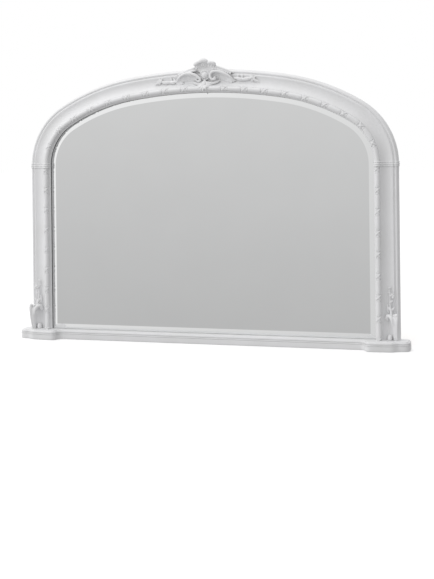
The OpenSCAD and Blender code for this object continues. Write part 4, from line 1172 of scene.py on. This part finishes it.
def feed(socket, value):
    """Sets a socket to a plain number, or links another socket to it."""
    if isinstance(value, (int, float)):
        socket.default_value = value
    else:
        sky.links.new(value, socket)


def arithmetic(operation, first, second):
    node = add(sky, "ShaderNodeMath", operation=operation)
    for socket, value in zip(node.inputs, (first, second)):
        feed(socket, value)
    return node.outputs["Value"]


def graded(source, low, high, at_low, at_high, smooth=False):
    """A value that runs from at_low to at_high while the source goes low to high."""
    node = add(sky, "ShaderNodeMapRange", {"From Min": low, "From Max": high,
                                           "To Min": at_low, "To Max": at_high},
               interpolation_type="SMOOTHSTEP" if smooth else "LINEAR")
    sky.links.new(source, node.inputs["Value"])
    return node.outputs["Result"]


def mixed(factor, first, second):
    """The first tone where the factor is 0, and the second where it is 1."""
    node = add(sky, "ShaderNodeMix", data_type="FLOAT")
    sky.links.new(factor, node.inputs["Factor"])
    feed(node.inputs["A"], first)
    feed(node.inputs["B"], second)
    return node.outputs["Result"]


def patch(forward, across_span, up_span, soft=0.1):
    """1 inside a soft-edged window of directions ahead or behind, 0 outside it."""
    ahead = arithmetic("MULTIPLY", split.outputs["Y"], forward)
    depth = arithmetic("MAXIMUM", ahead, 0.001)
    inside = graded(ahead, 0.0, 0.1, 0.0, 1.0)
    for axis, (low, high) in (("X", across_span), ("Z", up_span)):
        place = arithmetic("DIVIDE", split.outputs[axis], depth)
        off = arithmetic("ABSOLUTE", arithmetic("SUBTRACT", place, (low + high) / 2), 0.0)
        edge = arithmetic("DIVIDE", off, (high - low) / 2)
        part = graded(edge, 1 - soft, 1 + soft, 1.0, 0.0, smooth=True)
        inside = arithmetic("MULTIPLY", inside, part)
    return inside


# %% [markdown]
# The room is a pale grey that is brighter on the left and towards the ceiling.
# The mirror returns a grey card in front of it, darker below and lighter above,
# which is why the glass looks grey while the wall behind the frame is white.

# %% The room
level_tone, side_slope, floor_slope, ceiling_gain = 0.76, -0.34, 0.28, 0.35
card_low, card_high, card_dark, card_light = -0.20, 0.07, 0.50, 0.69
card_window = ((-0.51, -0.035), (-0.26, 0.13))
white_window = ((-0.62, 0.40), (-0.50, 0.36))
above = arithmetic("MAXIMUM", split.outputs["Z"], 0.0)
below = arithmetic("MINIMUM", split.outputs["Z"], 0.0)
room_tone = level_tone
for reading, slope in ((split.outputs["X"], side_slope), (below, floor_slope),
                       (arithmetic("POWER", above, 2.0), ceiling_gain)):
    room_tone = arithmetic("ADD", room_tone, arithmetic("MULTIPLY", reading, slope))
card_tone = graded(split.outputs["Z"], card_low, card_high, card_dark, card_light)
with_card = mixed(patch(-1.0, *card_window), room_tone, card_tone)
full_tone = mixed(patch(1.0, *white_window), with_card, 1.0)
glow = add(sky, "ShaderNodeBackground", {"Color": (1, 1, 1, 1)})
sky.links.new(full_tone, glow.inputs["Strength"])
out = add(sky, "ShaderNodeOutputWorld")
sky.links.new(glow.outputs["Background"], out.inputs["Surface"])
print("studio ready")
